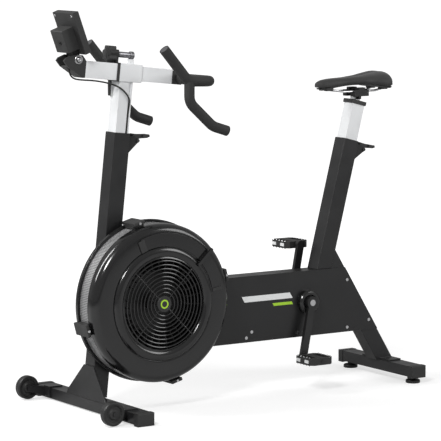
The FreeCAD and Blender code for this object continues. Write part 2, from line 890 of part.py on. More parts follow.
def cam_lever(label, frame, top):
    """The cam lever with its pin; the handle lies over the pin and runs back."""
    pin_z = top - PIN_DROP
    boss = rod("9", "17", (PIN_BACK, -8.5, pin_z), "y", frame)
    handle = padded(
        [
            (PIN_BACK + 14, pin_z + 12), (PIN_BACK + 16, pin_z + 20), (PIN_BACK - 4, pin_z + 19),
            (PIN_BACK - 38, pin_z + 21), (PIN_BACK - 42, pin_z + 15), (PIN_BACK - 32, pin_z + 10),
            (PIN_BACK - 8, pin_z + 6),
        ],
        "17", start=-8.5, frame=frame,
    )
    paddle = padded(
        [
            (PIN_BACK - 18, pin_z + 19), (PIN_BACK - 38, pin_z + 21),
            (PIN_BACK - 42, pin_z + 15), (PIN_BACK - 32, pin_z + 10), (PIN_BACK - 18, pin_z + 8),
        ],
        "30", start=-15, frame=frame,
    )
    neck = block(("12", "17", "14"), (PIN_BACK - 4, -8.5, pin_z), frame)
    pin = rod("5", "36", (PIN_BACK, -18, pin_z), "y", frame)
    return node(label, fuse(boss, handle, paddle, neck, pin))


def make_height_clamps():
    places = ((POST, -S.post_top, "post_lever"), (SEAT, -S.seat_tube_top, "seat_lever"))
    brackets = []
    for frame, top, label in places:
        hole = rod("5 + running_gap", "60", (PIN_BACK, -30, top - PIN_DROP), "y", frame)
        brackets.append(cut(lever_bracket(frame, top), hole))
        cam_lever(label, frame, top)
    node("lever_brackets", group(*brackets))


# ---------------------------------------------------------------- stem

GROOVE_AT = -15.0


def make_handlebar_post():
    """The square sliding tube, with a groove down its left face for the cable."""
    half = S.slider_side / 2
    top = -S.collar_side / 2
    outer = block(("slider_side", "slider_side", "360"), (-half, -half, top - 360), POST)
    inner = square_bar("slider_side - 2 * slider_wall", top - 400, "395", POST)
    wall = block(("16", "9", "360"), (GROOVE_AT - 8, half - 9.5, top - 360), POST)
    groove = block(("7", "7", "400"), (GROOVE_AT - 3.5, half - 6, top - 380), POST)
    node("handlebar_post", cut(fuse(cut(outer, inner), wall), groove))


def make_collar():
    half = S.collar_side / 2
    shell = block(("78", "collar_side", "collar_side"), (-50, -half, -half), POST)
    bore_half = S.slide_side / 2 + 0.5
    bore = block(("100", "slide_side + 1", "slide_side + 1"), (-60, -bore_half, -bore_half), POST)
    lug = block(("16", "16", "14"), (-30, -8, half), POST)
    node("stem_collar", fuse(cut(shell, bore), lug))


def make_clamp_plate():
    """The plate between collar and sleeve that the knob draws up, with its tail."""
    half = S.collar_side / 2 + 1
    bore_half = S.slide_side / 2 + 0.5
    plate = block(("8", "2 * 28", "2 * 28"), (28, -half, -half), POST)
    bore = block(("20", "slide_side + 1", "slide_side + 1"), (20, -bore_half, -bore_half), POST)
    lug = block(("8", "26", "38"), (28, -13, half), POST)
    tail = padded(
        [(30, -27), (36, -27), (36, -40), (32, -72), (30, -72)], "9", start=-24, frame=POST)
    hole = rod("9 + running_gap", "20", (20, 0, S.knob_rise), "x", POST)
    node("clamp_plate", cut(fuse(plate, lug, tail), bore, hole))


def make_clamp_rod():
    """The threaded rod with its round nut, on the collar's lug."""
    shank = rod("9", "66", (-16, 0, S.knob_rise), "x", POST)
    nut = rod("12", "12", (-28, 0, S.knob_rise), "x", POST)
    lug = block(("40", "40", "14"), (-34, -20, S.collar_side / 2), POST)
    node("clamp_rod", cut(fuse(shank, nut), lug))


def make_knob():
    """A seven-lobed knob."""
    core = rod("knob_radius - 4", "26", (38, 0, S.knob_rise), "x", POST)
    neck = rod("12", "4", (36.5, 0, S.knob_rise), "x", POST)
    lobes = []
    for i in range(7):
        angle = math.radians(360 / 7 * i)
        y = (S.knob_radius - 5) * math.sin(angle)
        z = S.knob_rise + (S.knob_radius - 5) * math.cos(angle)
        lobes.append(rod("5", "22", (40, y, z), "x", POST))
    bore = rod("9 + running_gap", "30", (20, 0, S.knob_rise), "x", POST)
    node("star_knob", cut(fuse(core, neck, *lobes), bore))


def make_sleeve():
    half = S.sleeve_side / 2
    shell = block(("108", "sleeve_side", "sleeve_side"), (36, -half, -half), POST)
    hollow = block(("120", "sleeve_side - 4", "sleeve_side - 4"), (30, -half + 2, -half + 2), POST)
    node("monitor_sleeve", cut(shell, hollow))


def make_monitor_bracket():
    """A fork on the sleeve's front end: a plug and two cheeks round the pivot."""
    plug = block(("14", "sleeve_side - 5", "sleeve_side - 5"), (132, -22.5, -22.5), POST)
    points = [
        (144, -25), (152, -26), (204, 2), (220, 18), (214, 27), (192, 38), (158, 40),
        (146, 27),
    ]
    left = padded(points, "6", start=19, frame=POST)
    right = padded(points, "6", start=-25, frame=POST)
    sill = padded(
        [(144, -25), (152, -26), (204, 2), (201, 6), (152, -20), (144, -18)],
        "38.4", start=-19.2, frame=POST,
    )
    face = block(("4", "50", "48"), (144, -25, -24), POST)
    hole = rod("5 + running_gap", "80", (171, -40, 26), "y", POST)
    gland_hole = rod("4", "20", (196, 12, -15), "z", POST)
    node("monitor_bracket", cut(fuse(plug, left, right, sill, face), hole, gland_hole))


# The cable's route beside the stem and down the post, in the post's frame.
CABLE_ROUTE = [
    (196, 12, 10), (193, 12.5, -14), (178, 14, -31), (150, 16, -32.5), (112, 18, -31),
    (78, 21, -33), (50, 25, -37), (24, 28.5, -45), (4, 29.5, -58), (-12.4, 28, -76),
    (-15.4, 22.4, -98), (-14.8, 20.2, -126), (-15.2, 20.3, -168), (-15, 20.2, -212),
]


def make_cable():
    """A limp lead: each arc is as large as its two runs allow."""
    points = [POST.multVec(V(*p)) for p in CABLE_ROUTE]
    radii = []
    for i in range(1, len(points) - 1):
        before = points[i] - points[i - 1]
        after = points[i + 1] - points[i]
        turn = before.getAngle(after)
        radii.append(0.45 * min(before.Length, after.Length) / math.tan(turn / 2))
    print("cable radii", [round(r, 1) for r in radii])
    tube = pipe(points, radii, S.cable_diameter / 2)
    length = rounded_path(points, radii).Length
    section = math.pi * S.cable_diameter ** 2 / 4
    print("cable length", round(length, 1), "volume ratio", round(tube.Volume / section / length, 4))
    node("monitor_cable", solid(tube))


# ---------------------------------------------------------------- handlebar

BAR_CENTRE = POST.multVec(V(-184, 0, -3))


def bar_paths(side, inner_y):
    """The grip line out to the horn, and the drop that leaves it downwards."""
    x = BAR_CENTRE.x
    z = BAR_CENTRE.z
    wide = side * S.bar_half_width
    horn = [
        V(x, side * inner_y, z), V(x, wide, z + 2), V(x + 92, wide, z + 5),
        V(x + 175, wide, z + 101),
    ]
    drop = [
        V(x + 88, wide, z + 4), V(x + 88, wide, z - 57), V(x + 7, wide, z - 130),
        V(x - 44, wide, z - 146),
    ]
    return (horn, [42.0, 45.0]), (drop, [42.0, 60.0])


def bar_solid(side, inner_y, radius):
    (horn, horn_radii), (drop, drop_radii) = bar_paths(side, inner_y)
    return pipe(horn, horn_radii, radius).fuse(pipe(drop, drop_radii, radius))


def make_handlebar():
    core = bar_solid(1, 0, S.bar_core_radius).fuse(bar_solid(-1, 0, S.bar_core_radius))
    node("handlebar_tube", solid(core.removeSplitter()))
    grips = []
    for side in (1, -1):
        cover = bar_solid(side, 28, S.grip_radius)
        grips.append(solid(cover.cut(bar_solid(side, 0, S.bar_core_radius + 0.1))))
    node("grips", group(*grips))


def make_slide_tube():
    half = S.slide_side / 2
    shell = block(("204", "slide_side", "slide_side"), (-159, -half, -half), POST)
    hollow = block(
        ("220", "slide_side - 6", "slide_side - 6"), (-165, -half + 3, -half + 3), POST)
    node("slide_tube", cut(shell, hollow))


def make_stem_block():
    """The block that closes the slide tube and holds the bar."""
    plug = block(("30", "slide_side - 7", "slide_side - 7"), (-164, -18.5, -18.5), POST)
    head = block(("32", "50", "40"), (-191, -25, -22), POST)
    cap = block(("14", "50", "34"), (-205, -25, -20), POST)
    bore = rod("bar_core_radius + clear_gap", "80", (-184, -40, -3), "y", POST)
    node("stem_block", cut(fuse(plug, head, cap), bore))


# ---------------------------------------------------------------- monitor

def make_monitor():
    half = S.monitor_width / 2
    # the case: its face looks back at the rider, its lug sits on the pivot
    slab = block(("monitor_thick", "monitor_width", "128"), (-30, -half, 13), MONITOR)
    lug = block(("22", "37", "46"), (-12, -18.5, -10), MONITOR)
    boss = rod("12", "37", (0, -18.5, 0), "y", MONITOR)
    bolt = rod("5", "60", (0, -30, 0), "y", MONITOR)
    window = block(("4", "92", "72"), (-31, -46, 56), MONITOR)
    keys = [block(("8", "17", "11"), (-31, y - 8.5, 25.5), MONITOR) for y in (-30, 0, 30)]
    battery_space = block(("40", "70", "69"), (-10, -35, 31), MONITOR)
    case = cut(fuse(slab, lug, boss, bolt), window, battery_space, *keys)
    node("monitor_case", case)
    node("monitor_screen", block(("2.5", "92", "72"), (-29.5, -46, 56), MONITOR))
    box = block(("40", "battery_width", "69"), (-10, -S.battery_width / 2, 31), MONITOR)
    eased = helper("Part::Fillet")
    eased.Base = box
    doc.recompute()
    outer = MONITOR.multVec(V(30, 0, 65))
    far = [
        i for i, e in enumerate(box.Shape.Edges, 1)
        if e.CenterOfMass.distanceToPlane(outer, MONITOR.Rotation.multVec(V(1, 0, 0))) > -1
    ]
    eased.Edges = [(i, 4.0, 4.0) for i in far]
    node("battery_box", eased)


def make_keys():
    for name, y in (("menu_key", -30), ("units_key", 0), ("display_key", 30)):
        cap = block(("5", "16", "10"), (-31.5, y - 8, 26), MONITOR)
        node(name, cap)


# ---------------------------------------------------------------- saddle

def make_seat_post():
    half = S.slider_side / 2
    outer = block(("slider_side", "slider_side", "331"), (-half, -half, -345), SEAT)
    inner = square_bar("slider_side - 2 * slider_wall", -360, "341", SEAT)
    lug = block(("22", "20", "21"), (-11, -10, -20), SEAT)
    hole = rod("5 + running_gap", "60", (0, -30, -4), "y", SEAT)
    node("seat_post", cut(fuse(cut(outer, inner), lug), hole))


def make_seat_post_cap():
    """A dark sleeve round the top of the seat post."""
    outer = block(("slider_side + 7", "slider_side + 7", "12.5"), (-26.5, -26.5, -26.5), SEAT)
    inner = square_bar("slider_side + 0.1", -40, "40", SEAT)
    node("seat_post_cap", cut(outer, inner))


TILT_PIN = SEAT.multVec(V(0, 0, -4))


def make_cradle():
    """The tilting head: two cheeks on the post's lug, jaws round the rails."""
    at = FreeCAD.Placement(V(TILT_PIN.x, 0, TILT_PIN.z), UPRIGHT)
    left = block(("18", "6", "14"), (-9, 10.3, -6), at)
    right = block(("18", "6", "14"), (-9, -16.3, -6), at)
    slot = block(("70", "20.6", "13"), (-35, -10.3, 0), at)
    jaw = cut(block(("56", "62", "20"), (-28, -31, 4), at), slot)
    pin = rod("5", "44", (0, -22, 0), "y", at)
    grooves = [rod("rail_radius + 0.4", "100", (-50, y, 20), "x", at) for y in (-22, 22)]
    lower = cut(fuse(left, right, jaw, pin), *grooves)
    clamps = [block(("30", "14", "7"), (-15, y - 7, 24.2), at) for y in (-22, 22)]
    posts = [block(("24", "5", "14"), (-12, y, 17.5), at) for y in (-31, 26.2)]
    node("saddle_cradle", fuse(lower, *clamps, *posts))


# the saddle's stations: distance back from the nose, half width, underside and top
STATIONS = (
    (0, 10, 2, 17), (12, 17, -1, 24), (45, 21, 2, 28), (100, 27, 9, 31), (150, 42, 11, 35),
    (195, 66, 6, 42), (225, 72, 0, 48), (250, 64, 1, 45), (264, 44, 7, 33),
)


def cushion_section(back, half, low, top, level):
    """A flat-bottomed rounded section across the saddle."""
    x = TILT_PIN.x + S.saddle_nose - back
    profile = ((-1, 0), (-1.0, 0.42), (-0.8, 0.8), (-0.42, 0.96), (0, 1.0),
               (0.42, 0.96), (0.8, 0.8), (1.0, 0.42), (1, 0))
    points = [V(x, half * a, level + low + (top - low) * b) for a, b in profile]
    curve = Part.BSplineCurve()
    curve.interpolate(points)
    return Part.Wire([curve.toShape(), Part.LineSegment(points[-1], points[0]).toShape()])


def plate_section(back, half, low, top, level):
    """A thin section that follows the cushion's underside."""
    x = TILT_PIN.x + S.saddle_nose - back
    wide = 0.9 * half
    high = level + low - 0.6
    return Part.makePolygon([
        V(x, -wide, high), V(x, -wide, high - 4), V(x, wide, high - 4), V(x, wide, high),
        V(x, -wide, high),
    ])


def make_saddle():
    x = TILT_PIN.x
    z = TILT_PIN.z + 20
    rails = []
    for side in (-1, 1):
        points = [
            V(x + 118, side * 14, z + 8.5), V(x + 62, side * 22, z), V(x - 58, side * 22, z),
            V(x - 86, side * 31, z + 8.5),
        ]
        rails.append(pipe(points, [60.0, 30.0], S.rail_radius))
    node("saddle_rails", group(*[solid(r) for r in rails]))
    level = z + S.saddle_gap
    plate = Part.makeLoft([plate_section(*s, level) for s in STATIONS[1:-1]], True)
    for side in (-1, 1):
        front = Part.makeBox(26, 14, 9, V(x + 102, side * 14 - 7, level - 10))
        rear = Part.makeBox(26, 16, 8, V(x - 94, side * 32 - 8, level - 10))
        plate = plate.fuse(front).fuse(rear)
    plate = plate.cut(rails[0]).cut(rails[1]).removeSplitter()
    node("saddle_base", solid(plate))
    sections = [cushion_section(*s, level) for s in STATIONS]
    node("saddle_cushion", solid(Part.makeLoft(sections, True)))


# ---------------------------------------------------------------- build

def build():
    make_base()
    make_running_gear()
    make_front_post()
    make_gusset()
    make_seat_tube()
    make_rear_leg()
    node("body_rails", group(rail(S.body_top - S.rail_height), rail(S.body_base)))
    make_panels()
    make_bearing_plates()
    make_crank_bosses()
    make_shafts()
    make_belts()
    make_cranks()
    make_rear_cover()
    make_band()
    make_front_cover()
    make_clips()
    make_screws()
    make_fan_wheel()
    make_damper()
    make_height_clamps()
    make_handlebar_post()
    make_collar()
    make_clamp_plate()
    make_clamp_rod()
    make_knob()
    make_sleeve()
    make_monitor_bracket()
    make_cable()
    make_handlebar()
    make_slide_tube()
    make_stem_block()
    make_monitor()
    make_keys()
    make_seat_post()
    make_seat_post_cap()
    make_cradle()
    make_saddle()
    doc.recompute()


def check_and_write():
    for obj in doc.Objects:
        if "Invalid" in obj.State or "Error" in obj.State:
            raise RuntimeError(f"{obj.Name} ({obj.Label}) failed: {obj.State}")
    os.makedirs("parts", exist_ok=True)
    for piece in nodes:
        shape = piece.Shape
        if shape.isNull() or not shape.isValid() or not shape.Solids:
            raise RuntimeError(f"{piece.Label} has no valid shape")
        shape.exportStep(os.path.join("parts", f"{piece.Label}.step"))
    print(len(nodes), "nodes written")


build()
check_and_write()
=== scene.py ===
import bpy
import json
import math
from mathutils import Matrix, Vector

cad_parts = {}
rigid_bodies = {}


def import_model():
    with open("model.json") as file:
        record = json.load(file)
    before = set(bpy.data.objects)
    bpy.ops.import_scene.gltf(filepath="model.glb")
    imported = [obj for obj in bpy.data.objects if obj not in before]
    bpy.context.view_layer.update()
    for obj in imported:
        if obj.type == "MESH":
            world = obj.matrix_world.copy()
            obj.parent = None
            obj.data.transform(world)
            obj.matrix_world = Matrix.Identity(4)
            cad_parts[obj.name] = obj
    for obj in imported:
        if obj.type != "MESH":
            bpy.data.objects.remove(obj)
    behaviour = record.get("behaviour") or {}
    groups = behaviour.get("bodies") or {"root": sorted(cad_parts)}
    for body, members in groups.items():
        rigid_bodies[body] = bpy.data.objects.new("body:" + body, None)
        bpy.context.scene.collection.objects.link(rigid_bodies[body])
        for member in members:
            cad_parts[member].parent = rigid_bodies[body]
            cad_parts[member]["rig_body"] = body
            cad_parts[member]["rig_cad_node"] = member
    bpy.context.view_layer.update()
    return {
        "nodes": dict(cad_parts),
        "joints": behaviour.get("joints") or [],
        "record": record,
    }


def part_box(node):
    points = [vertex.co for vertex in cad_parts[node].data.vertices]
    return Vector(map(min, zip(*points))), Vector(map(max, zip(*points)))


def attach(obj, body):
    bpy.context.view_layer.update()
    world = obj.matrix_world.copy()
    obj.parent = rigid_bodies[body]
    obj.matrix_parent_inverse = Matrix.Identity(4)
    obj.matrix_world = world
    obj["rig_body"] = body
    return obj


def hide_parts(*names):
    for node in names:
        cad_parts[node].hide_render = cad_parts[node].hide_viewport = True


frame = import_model()
cad = frame["nodes"]
joints = {j["name"]: j for j in frame["joints"]}
body_of_node = {
    node: body
    for body, members in frame["record"]["behaviour"]["bodies"].items()
    for node in members
}


def joint_at(name):
    return Vector(joints[name]["pos_m"])


def joint_axis(name):
    return Vector(joints[name]["axis"])


def leaning_frame(origin, up):
    """A frame whose Z leans with a tube and whose Y stays across the bike."""
    across = Vector((0, 1, 0))
    forward = across.cross(up).normalized()
    turn = Matrix((forward, across, up.normalized())).transposed()
    return Matrix.Translation(origin) @ turn.to_4x4()


STEM_UP = joint_axis("handlebar_height")
STEM_FORWARD = joint_axis("handlebar_reach")
STEM_ORIGIN = joint_at("monitor_tilt") - 0.171 * STEM_FORWARD - 0.026 * STEM_UP
STEM = leaning_frame(STEM_ORIGIN, STEM_UP)
FAN = Matrix.Translation(joint_at("fan_spin"))
CRANK = Matrix.Translation(joint_at("crank_spin"))
MONITOR_UP = joint_axis("menu_key_press").cross(Vector((0, 1, 0)))
MONITOR = leaning_frame(joint_at("monitor_tilt"), MONITOR_UP)
ACROSS = Matrix.Rotation(-math.pi / 2, 4, "X")


# ------------------------------------------------------------ camera

def place_camera():
    yaw = math.radians(33.37)
    pitch = math.radians(6.87)
    bpy.ops.object.camera_add(location=(4.3731, 6.5861, 1.4888))
    camera = bpy.context.object
    aim = Vector((
        -math.sin(yaw) * math.cos(pitch), -math.cos(yaw) * math.cos(pitch), -math.sin(pitch),
    ))
    camera.rotation_euler = aim.to_track_quat("-Z", "Y").to_euler()
    camera.data.sensor_width = 36.0
    camera.data.lens = 212.3
    camera.data.clip_end = 400.0
    bpy.context.scene.camera = camera


place_camera()


# ------------------------------------------------------------ selection

def clear_selection():
    bpy.ops.object.select_all(action="DESELECT")


def only(piece):
    clear_selection()
    piece.select_set(True)
    bpy.context.view_layer.objects.active = piece


def edit_all(piece):
    only(piece)
    bpy.ops.object.mode_set(mode="EDIT")
    bpy.ops.mesh.select_all(action="SELECT")


def leave_edit():
    bpy.ops.object.mode_set(mode="OBJECT")


def pick_faces(piece, wanted):
    """Select, in edit mode, the faces whose centre and normal the test accepts."""
    only(piece)
    bpy.ops.object.mode_set(mode="EDIT")
    bpy.ops.mesh.select_mode(type="FACE")
    bpy.ops.mesh.select_all(action="DESELECT")
    leave_edit()
    for face in piece.data.polygons:
        face.select = wanted(face.center, face.normal)
    bpy.ops.object.mode_set(mode="EDIT")


def seat_in(piece, place):
    """Put a piece built round the origin where it belongs, and leave its object at the origin."""
    only(piece)
    piece.matrix_world = place @ piece.matrix_world
    bpy.ops.object.transform_apply(location=True, rotation=True, scale=True)
    return piece


def bevelled(piece, width, segments=3, corner=35):
    modifier = piece.modifiers.new("Edges", "BEVEL")
    modifier.width = width
    modifier.segments = segments
    modifier.limit_method = "ANGLE"
    modifier.angle_limit = math.radians(corner)
    only(piece)
    bpy.ops.object.modifier_apply(modifier=modifier.name)
    return piece


def smoothed(piece, angle=32, weighted=True):
    only(piece)
    bpy.ops.object.shade_smooth_by_angle(angle=math.radians(angle))
    if weighted:
        modifier = piece.modifiers.new("Normals", "WEIGHTED_NORMAL")
        modifier.keep_sharp = True
        bpy.ops.object.modifier_apply(modifier=modifier.name)
    return piece


def joined(name, pieces):
    clear_selection()
    for piece in pieces:
        piece.select_set(True)
    bpy.context.view_layer.objects.active = pieces[0]
    if len(pieces) > 1:
        bpy.ops.object.join()
    pieces[0].name = name
    return pieces[0]


# ------------------------------------------------------------ effects

def new_effect(name, inputs, outputs):
    """An empty shader node group with named sockets."""
    effect = bpy.data.node_groups.new(name, "ShaderNodeTree")
    for label, kind, value in inputs:
        socket = effect.interface.new_socket(label, in_out="INPUT", socket_type=kind)
        if value is not None:
            socket.default_value = value
    for label, kind in outputs:
        effect.interface.new_socket(label, in_out="OUTPUT", socket_type=kind)
    start = effect.nodes.new("NodeGroupInput")
    end = effect.nodes.new("NodeGroupOutput")
    return effect, start, end


def add_node(tree, kind, **settings):
    node = tree.nodes.new(kind)
    for key, value in settings.items():
        setattr(node, key, value)
    return node


def math_node(tree, operation, first, second=None):
    node = add_node(tree, "ShaderNodeMath", operation=operation)
    for i, value in enumerate((first, second)):
        if value is None:
            continue
        if isinstance(value, (int, float)):
            node.inputs[i].default_value = value
        else:
            tree.links.new(value, node.inputs[i])
    return node.outputs[0]


def make_grain():
    """Small bumps of a moulded or painted skin."""
    effect, start, end = new_effect(
        "skin_grain",
        [("Vector", "NodeSocketVector", None), ("Scale", "NodeSocketFloat", 800.0),
         ("Depth", "NodeSocketFloat", 0.2)],
        [("Mask", "NodeSocketFloat"), ("Normal", "NodeSocketVector")],
    )
    noise = add_node(effect, "ShaderNodeTexNoise")
    noise.inputs["Detail"].default_value = 3.0
    bump = add_node(effect, "ShaderNodeBump")
    bump.inputs["Distance"].default_value = 0.0004
    effect.links.new(start.outputs["Vector"], noise.inputs["Vector"])
    effect.links.new(start.outputs["Scale"], noise.inputs["Scale"])
    effect.links.new(noise.outputs["Fac"], bump.inputs["Height"])
    effect.links.new(start.outputs["Depth"], bump.inputs["Strength"])
    effect.links.new(noise.outputs["Fac"], end.inputs["Mask"])
    effect.links.new(bump.outputs["Normal"], end.inputs["Normal"])
    return effect


def make_pebble():
    """Rounded cells, as on grip rubber and saddle vinyl."""
    effect, start, end = new_effect(
        "pebble_grain",
        [("Vector", "NodeSocketVector", None), ("Scale", "NodeSocketFloat", 600.0),
         ("Depth", "NodeSocketFloat", 0.3)],
        [("Mask", "NodeSocketFloat"), ("Normal", "NodeSocketVector")],
    )
    cells = add_node(effect, "ShaderNodeTexVoronoi", feature="SMOOTH_F1")
    bump = add_node(effect, "ShaderNodeBump", invert=True)
    bump.inputs["Distance"].default_value = 0.0006
    effect.links.new(start.outputs["Vector"], cells.inputs["Vector"])
    effect.links.new(start.outputs["Scale"], cells.inputs["Scale"])
    effect.links.new(cells.outputs["Distance"], bump.inputs["Height"])
    effect.links.new(start.outputs["Depth"], bump.inputs["Strength"])
    effect.links.new(cells.outputs["Distance"], end.inputs["Mask"])
    effect.links.new(bump.outputs["Normal"], end.inputs["Normal"])
    return effect


def make_handling():
    """A broad, soft change of gloss where hands and cloths have been."""
    effect, start, end = new_effect(
        "handling_wear",
        [("Vector", "NodeSocketVector", None), ("Scale", "NodeSocketFloat", 14.0),
         ("Least", "NodeSocketFloat", 0.3), ("Most", "NodeSocketFloat", 0.45)],
        [("Value", "NodeSocketFloat")],
    )
    noise = add_node(effect, "ShaderNodeTexNoise")
    noise.inputs["Detail"].default_value = 5.0
    spread = add_node(effect, "ShaderNodeMapRange")
    spread.inputs["From Min"].default_value = 0.35
    spread.inputs["From Max"].default_value = 0.65
    effect.links.new(start.outputs["Vector"], noise.inputs["Vector"])
    effect.links.new(start.outputs["Scale"], noise.inputs["Scale"])
    effect.links.new(noise.outputs["Fac"], spread.inputs["Value"])
    effect.links.new(start.outputs["Least"], spread.inputs["To Min"])
    effect.links.new(start.outputs["Most"], spread.inputs["To Max"])
    effect.links.new(spread.outputs["Result"], end.inputs["Value"])
    return effect


def make_dust():
    """Fine dust that settles on upward faces in loose patches."""
    effect, start, end = new_effect(
        "settled_dust",
        [("Vector", "NodeSocketVector", None), ("Base", "NodeSocketColor", None),
         ("Dust", "NodeSocketColor", (0.28, 0.27, 0.25, 1.0)),
         ("Amount", "NodeSocketFloat", 0.05)],
        [("Color", "NodeSocketColor")],
    )
    facing = add_node(effect, "ShaderNodeNewGeometry")
    upward = add_node(effect, "ShaderNodeSeparateXYZ")
    noise = add_node(effect, "ShaderNodeTexNoise")
    noise.inputs["Scale"].default_value = 40.0
    noise.inputs["Detail"].default_value = 6.0
    blend = add_node(effect, "ShaderNodeMix", data_type="RGBA")
    effect.links.new(facing.outputs["Normal"], upward.inputs[0])
    effect.links.new(start.outputs["Vector"], noise.inputs["Vector"])
    lift = math_node(effect, "MAXIMUM", upward.outputs["Z"], 0.0)
    patch = math_node(effect, "MULTIPLY", lift, noise.outputs["Fac"])
    share = math_node(effect, "MULTIPLY", patch, start.outputs["Amount"])
    effect.links.new(share, blend.inputs[0])
    effect.links.new(start.outputs["Base"], blend.inputs[6])
    effect.links.new(start.outputs["Dust"], blend.inputs[7])
    effect.links.new(blend.outputs[2], end.inputs["Color"])
    return effect


def make_punched():
    """Round holes in rows round an axis that runs across the bike."""
    effect, start, end = new_effect(
        "punched_rows",
        [("Vector", "NodeSocketVector", None), ("Radius", "NodeSocketFloat", 0.235),
         ("Pitch", "NodeSocketFloat", 0.005)],
        [("Mask", "NodeSocketFloat")],
    )
    parts = add_node(effect, "ShaderNodeSeparateXYZ")
    spot = add_node(effect, "ShaderNodeCombineXYZ")
    cells = add_node(effect, "ShaderNodeTexVoronoi", voronoi_dimensions="2D")
    cells.inputs["Scale"].default_value = 1.0
    cells.inputs["Randomness"].default_value = 0.0
    effect.links.new(start.outputs["Vector"], parts.inputs[0])
    angle = math_node(effect, "ARCTAN2", parts.outputs["Z"], parts.outputs["X"])
    length = math_node(effect, "MULTIPLY", angle, start.outputs["Radius"])
    round_rows = math_node(effect, "DIVIDE", length, start.outputs["Pitch"])
    cross_rows = math_node(effect, "DIVIDE", parts.outputs["Y"], start.outputs["Pitch"])
    effect.links.new(round_rows, spot.inputs["X"])
    effect.links.new(cross_rows, spot.inputs["Y"])
    effect.links.new(spot.outputs[0], cells.inputs["Vector"])
    mask = math_node(effect, "LESS_THAN", cells.outputs["Distance"], 0.36)
    effect.links.new(mask, end.inputs["Mask"])
    return effect


GRAIN = make_grain()
PEBBLE = make_pebble()
HANDLING = make_handling()
DUST = make_dust()
PUNCHED = make_punched()


# ------------------------------------------------------------ finishes

def finish(name, colour, roughness, metallic=0.0, grain=None, pebble=None,
           stretch=None, dust=0.04, coat=0.0, sheen=0.0):
    """A surface finish: colour with settled dust, uneven gloss and a fine skin."""
    material = bpy.data.materials.new(name)
    material.use_nodes = True
    tree = material.node_tree
    shader = tree.nodes["Principled BSDF"]
    shader.inputs["Metallic"].default_value = metallic
    shader.inputs["Coat Weight"].default_value = coat
    shader.inputs["Coat Roughness"].default_value = 0.08
    shader.inputs["Sheen Weight"].default_value = sheen
    place = add_node(tree, "ShaderNodeTexCoord")
    where = place.outputs["Object"]
    worn = add_node(tree, "ShaderNodeGroup", node_tree=HANDLING)
    worn.inputs["Least"].default_value = roughness[0]
    worn.inputs["Most"].default_value = roughness[1]
    tree.links.new(where, worn.inputs["Vector"])
    tree.links.new(worn.outputs["Value"], shader.inputs["Roughness"])
    dusty = add_node(tree, "ShaderNodeGroup", node_tree=DUST)
    dusty.inputs["Base"].default_value = (*colour, 1.0)
    dusty.inputs["Amount"].default_value = dust
    tree.links.new(where, dusty.inputs["Vector"])
    tree.links.new(dusty.outputs["Color"], shader.inputs["Base Color"])
    if stretch:
        lay = add_node(tree, "ShaderNodeMapping")
        lay.inputs["Rotation"].default_value = (0, math.radians(stretch[0]), 0)
        lay.inputs["Scale"].default_value = stretch[1]
        tree.links.new(where, lay.inputs["Vector"])
        where = lay.outputs["Vector"]
    skin = pebble or grain
    if skin:
        effect = PEBBLE if pebble else GRAIN
        group = add_node(tree, "ShaderNodeGroup", node_tree=effect)
        group.inputs["Scale"].default_value = skin[0]
        group.inputs["Depth"].default_value = skin[1]
        tree.links.new(where, group.inputs["Vector"])
        tree.links.new(group.outputs["Normal"], shader.inputs["Normal"])
    return material


def screen_mesh_finish():
    """Steel sheet punched with small round holes, round the fan."""
    material = finish("punched_screen", (0.11, 0.11, 0.115), (0.35, 0.5), 0.6, grain=(900, 0.1))
    tree = material.node_tree
    shader = tree.nodes["Principled BSDF"]
    place = add_node(tree, "ShaderNodeTexCoord")
    centre = add_node(tree, "ShaderNodeMapping")
    centre.inputs["Location"].default_value = [-c for c in joint_at("fan_spin")]
    holes = add_node(tree, "ShaderNodeGroup", node_tree=PUNCHED)
    tone = add_node(tree, "ShaderNodeMix", data_type="RGBA")
    tone.inputs[6].default_value = (0.5, 0.5, 0.505, 1.0)
    tone.inputs[7].default_value = (0.006, 0.006, 0.006, 1.0)
    tree.links.new(place.outputs["Object"], centre.inputs["Vector"])
    tree.links.new(centre.outputs["Vector"], holes.inputs["Vector"])
    tree.links.new(holes.outputs["Mask"], tone.inputs[0])
    tree.links.new(tone.outputs[2], shader.inputs["Base Color"])
    return material


def display_finish():
    """A reflective grey-green display with plain dark blocks for its figures."""
    backing = (0.3, 0.34, 0.27)
    material = finish("display_panel", backing, (0.12, 0.2), dust=0.02)
    tree = material.node_tree
    shader = tree.nodes["Principled BSDF"]
    place = add_node(tree, "ShaderNodeTexCoord")
    lay = add_node(tree, "ShaderNodeMapping")
    lay.inputs["Rotation"].default_value = (math.radians(90), 0, math.radians(90))
    blocks = add_node(tree, "ShaderNodeTexBrick", offset=0.0)
    blocks.inputs["Color1"].default_value = (0.02, 0.022, 0.02, 1)
    blocks.inputs["Color2"].default_value = (*backing, 1)
    blocks.inputs["Mortar"].default_value = (*backing, 1)
    blocks.inputs["Scale"].default_value = 1.0
    blocks.inputs["Mortar Size"].default_value = 0.0022
    blocks.inputs["Brick Width"].default_value = 0.012
    blocks.inputs["Row Height"].default_value = 0.015
    tree.links.new(place.outputs["Object"], lay.inputs["Vector"])
    tree.links.new(lay.outputs["Vector"], blocks.inputs["Vector"])
    tree.links.new(blocks.outputs["Color"], shader.inputs["Base Color"])
    return material


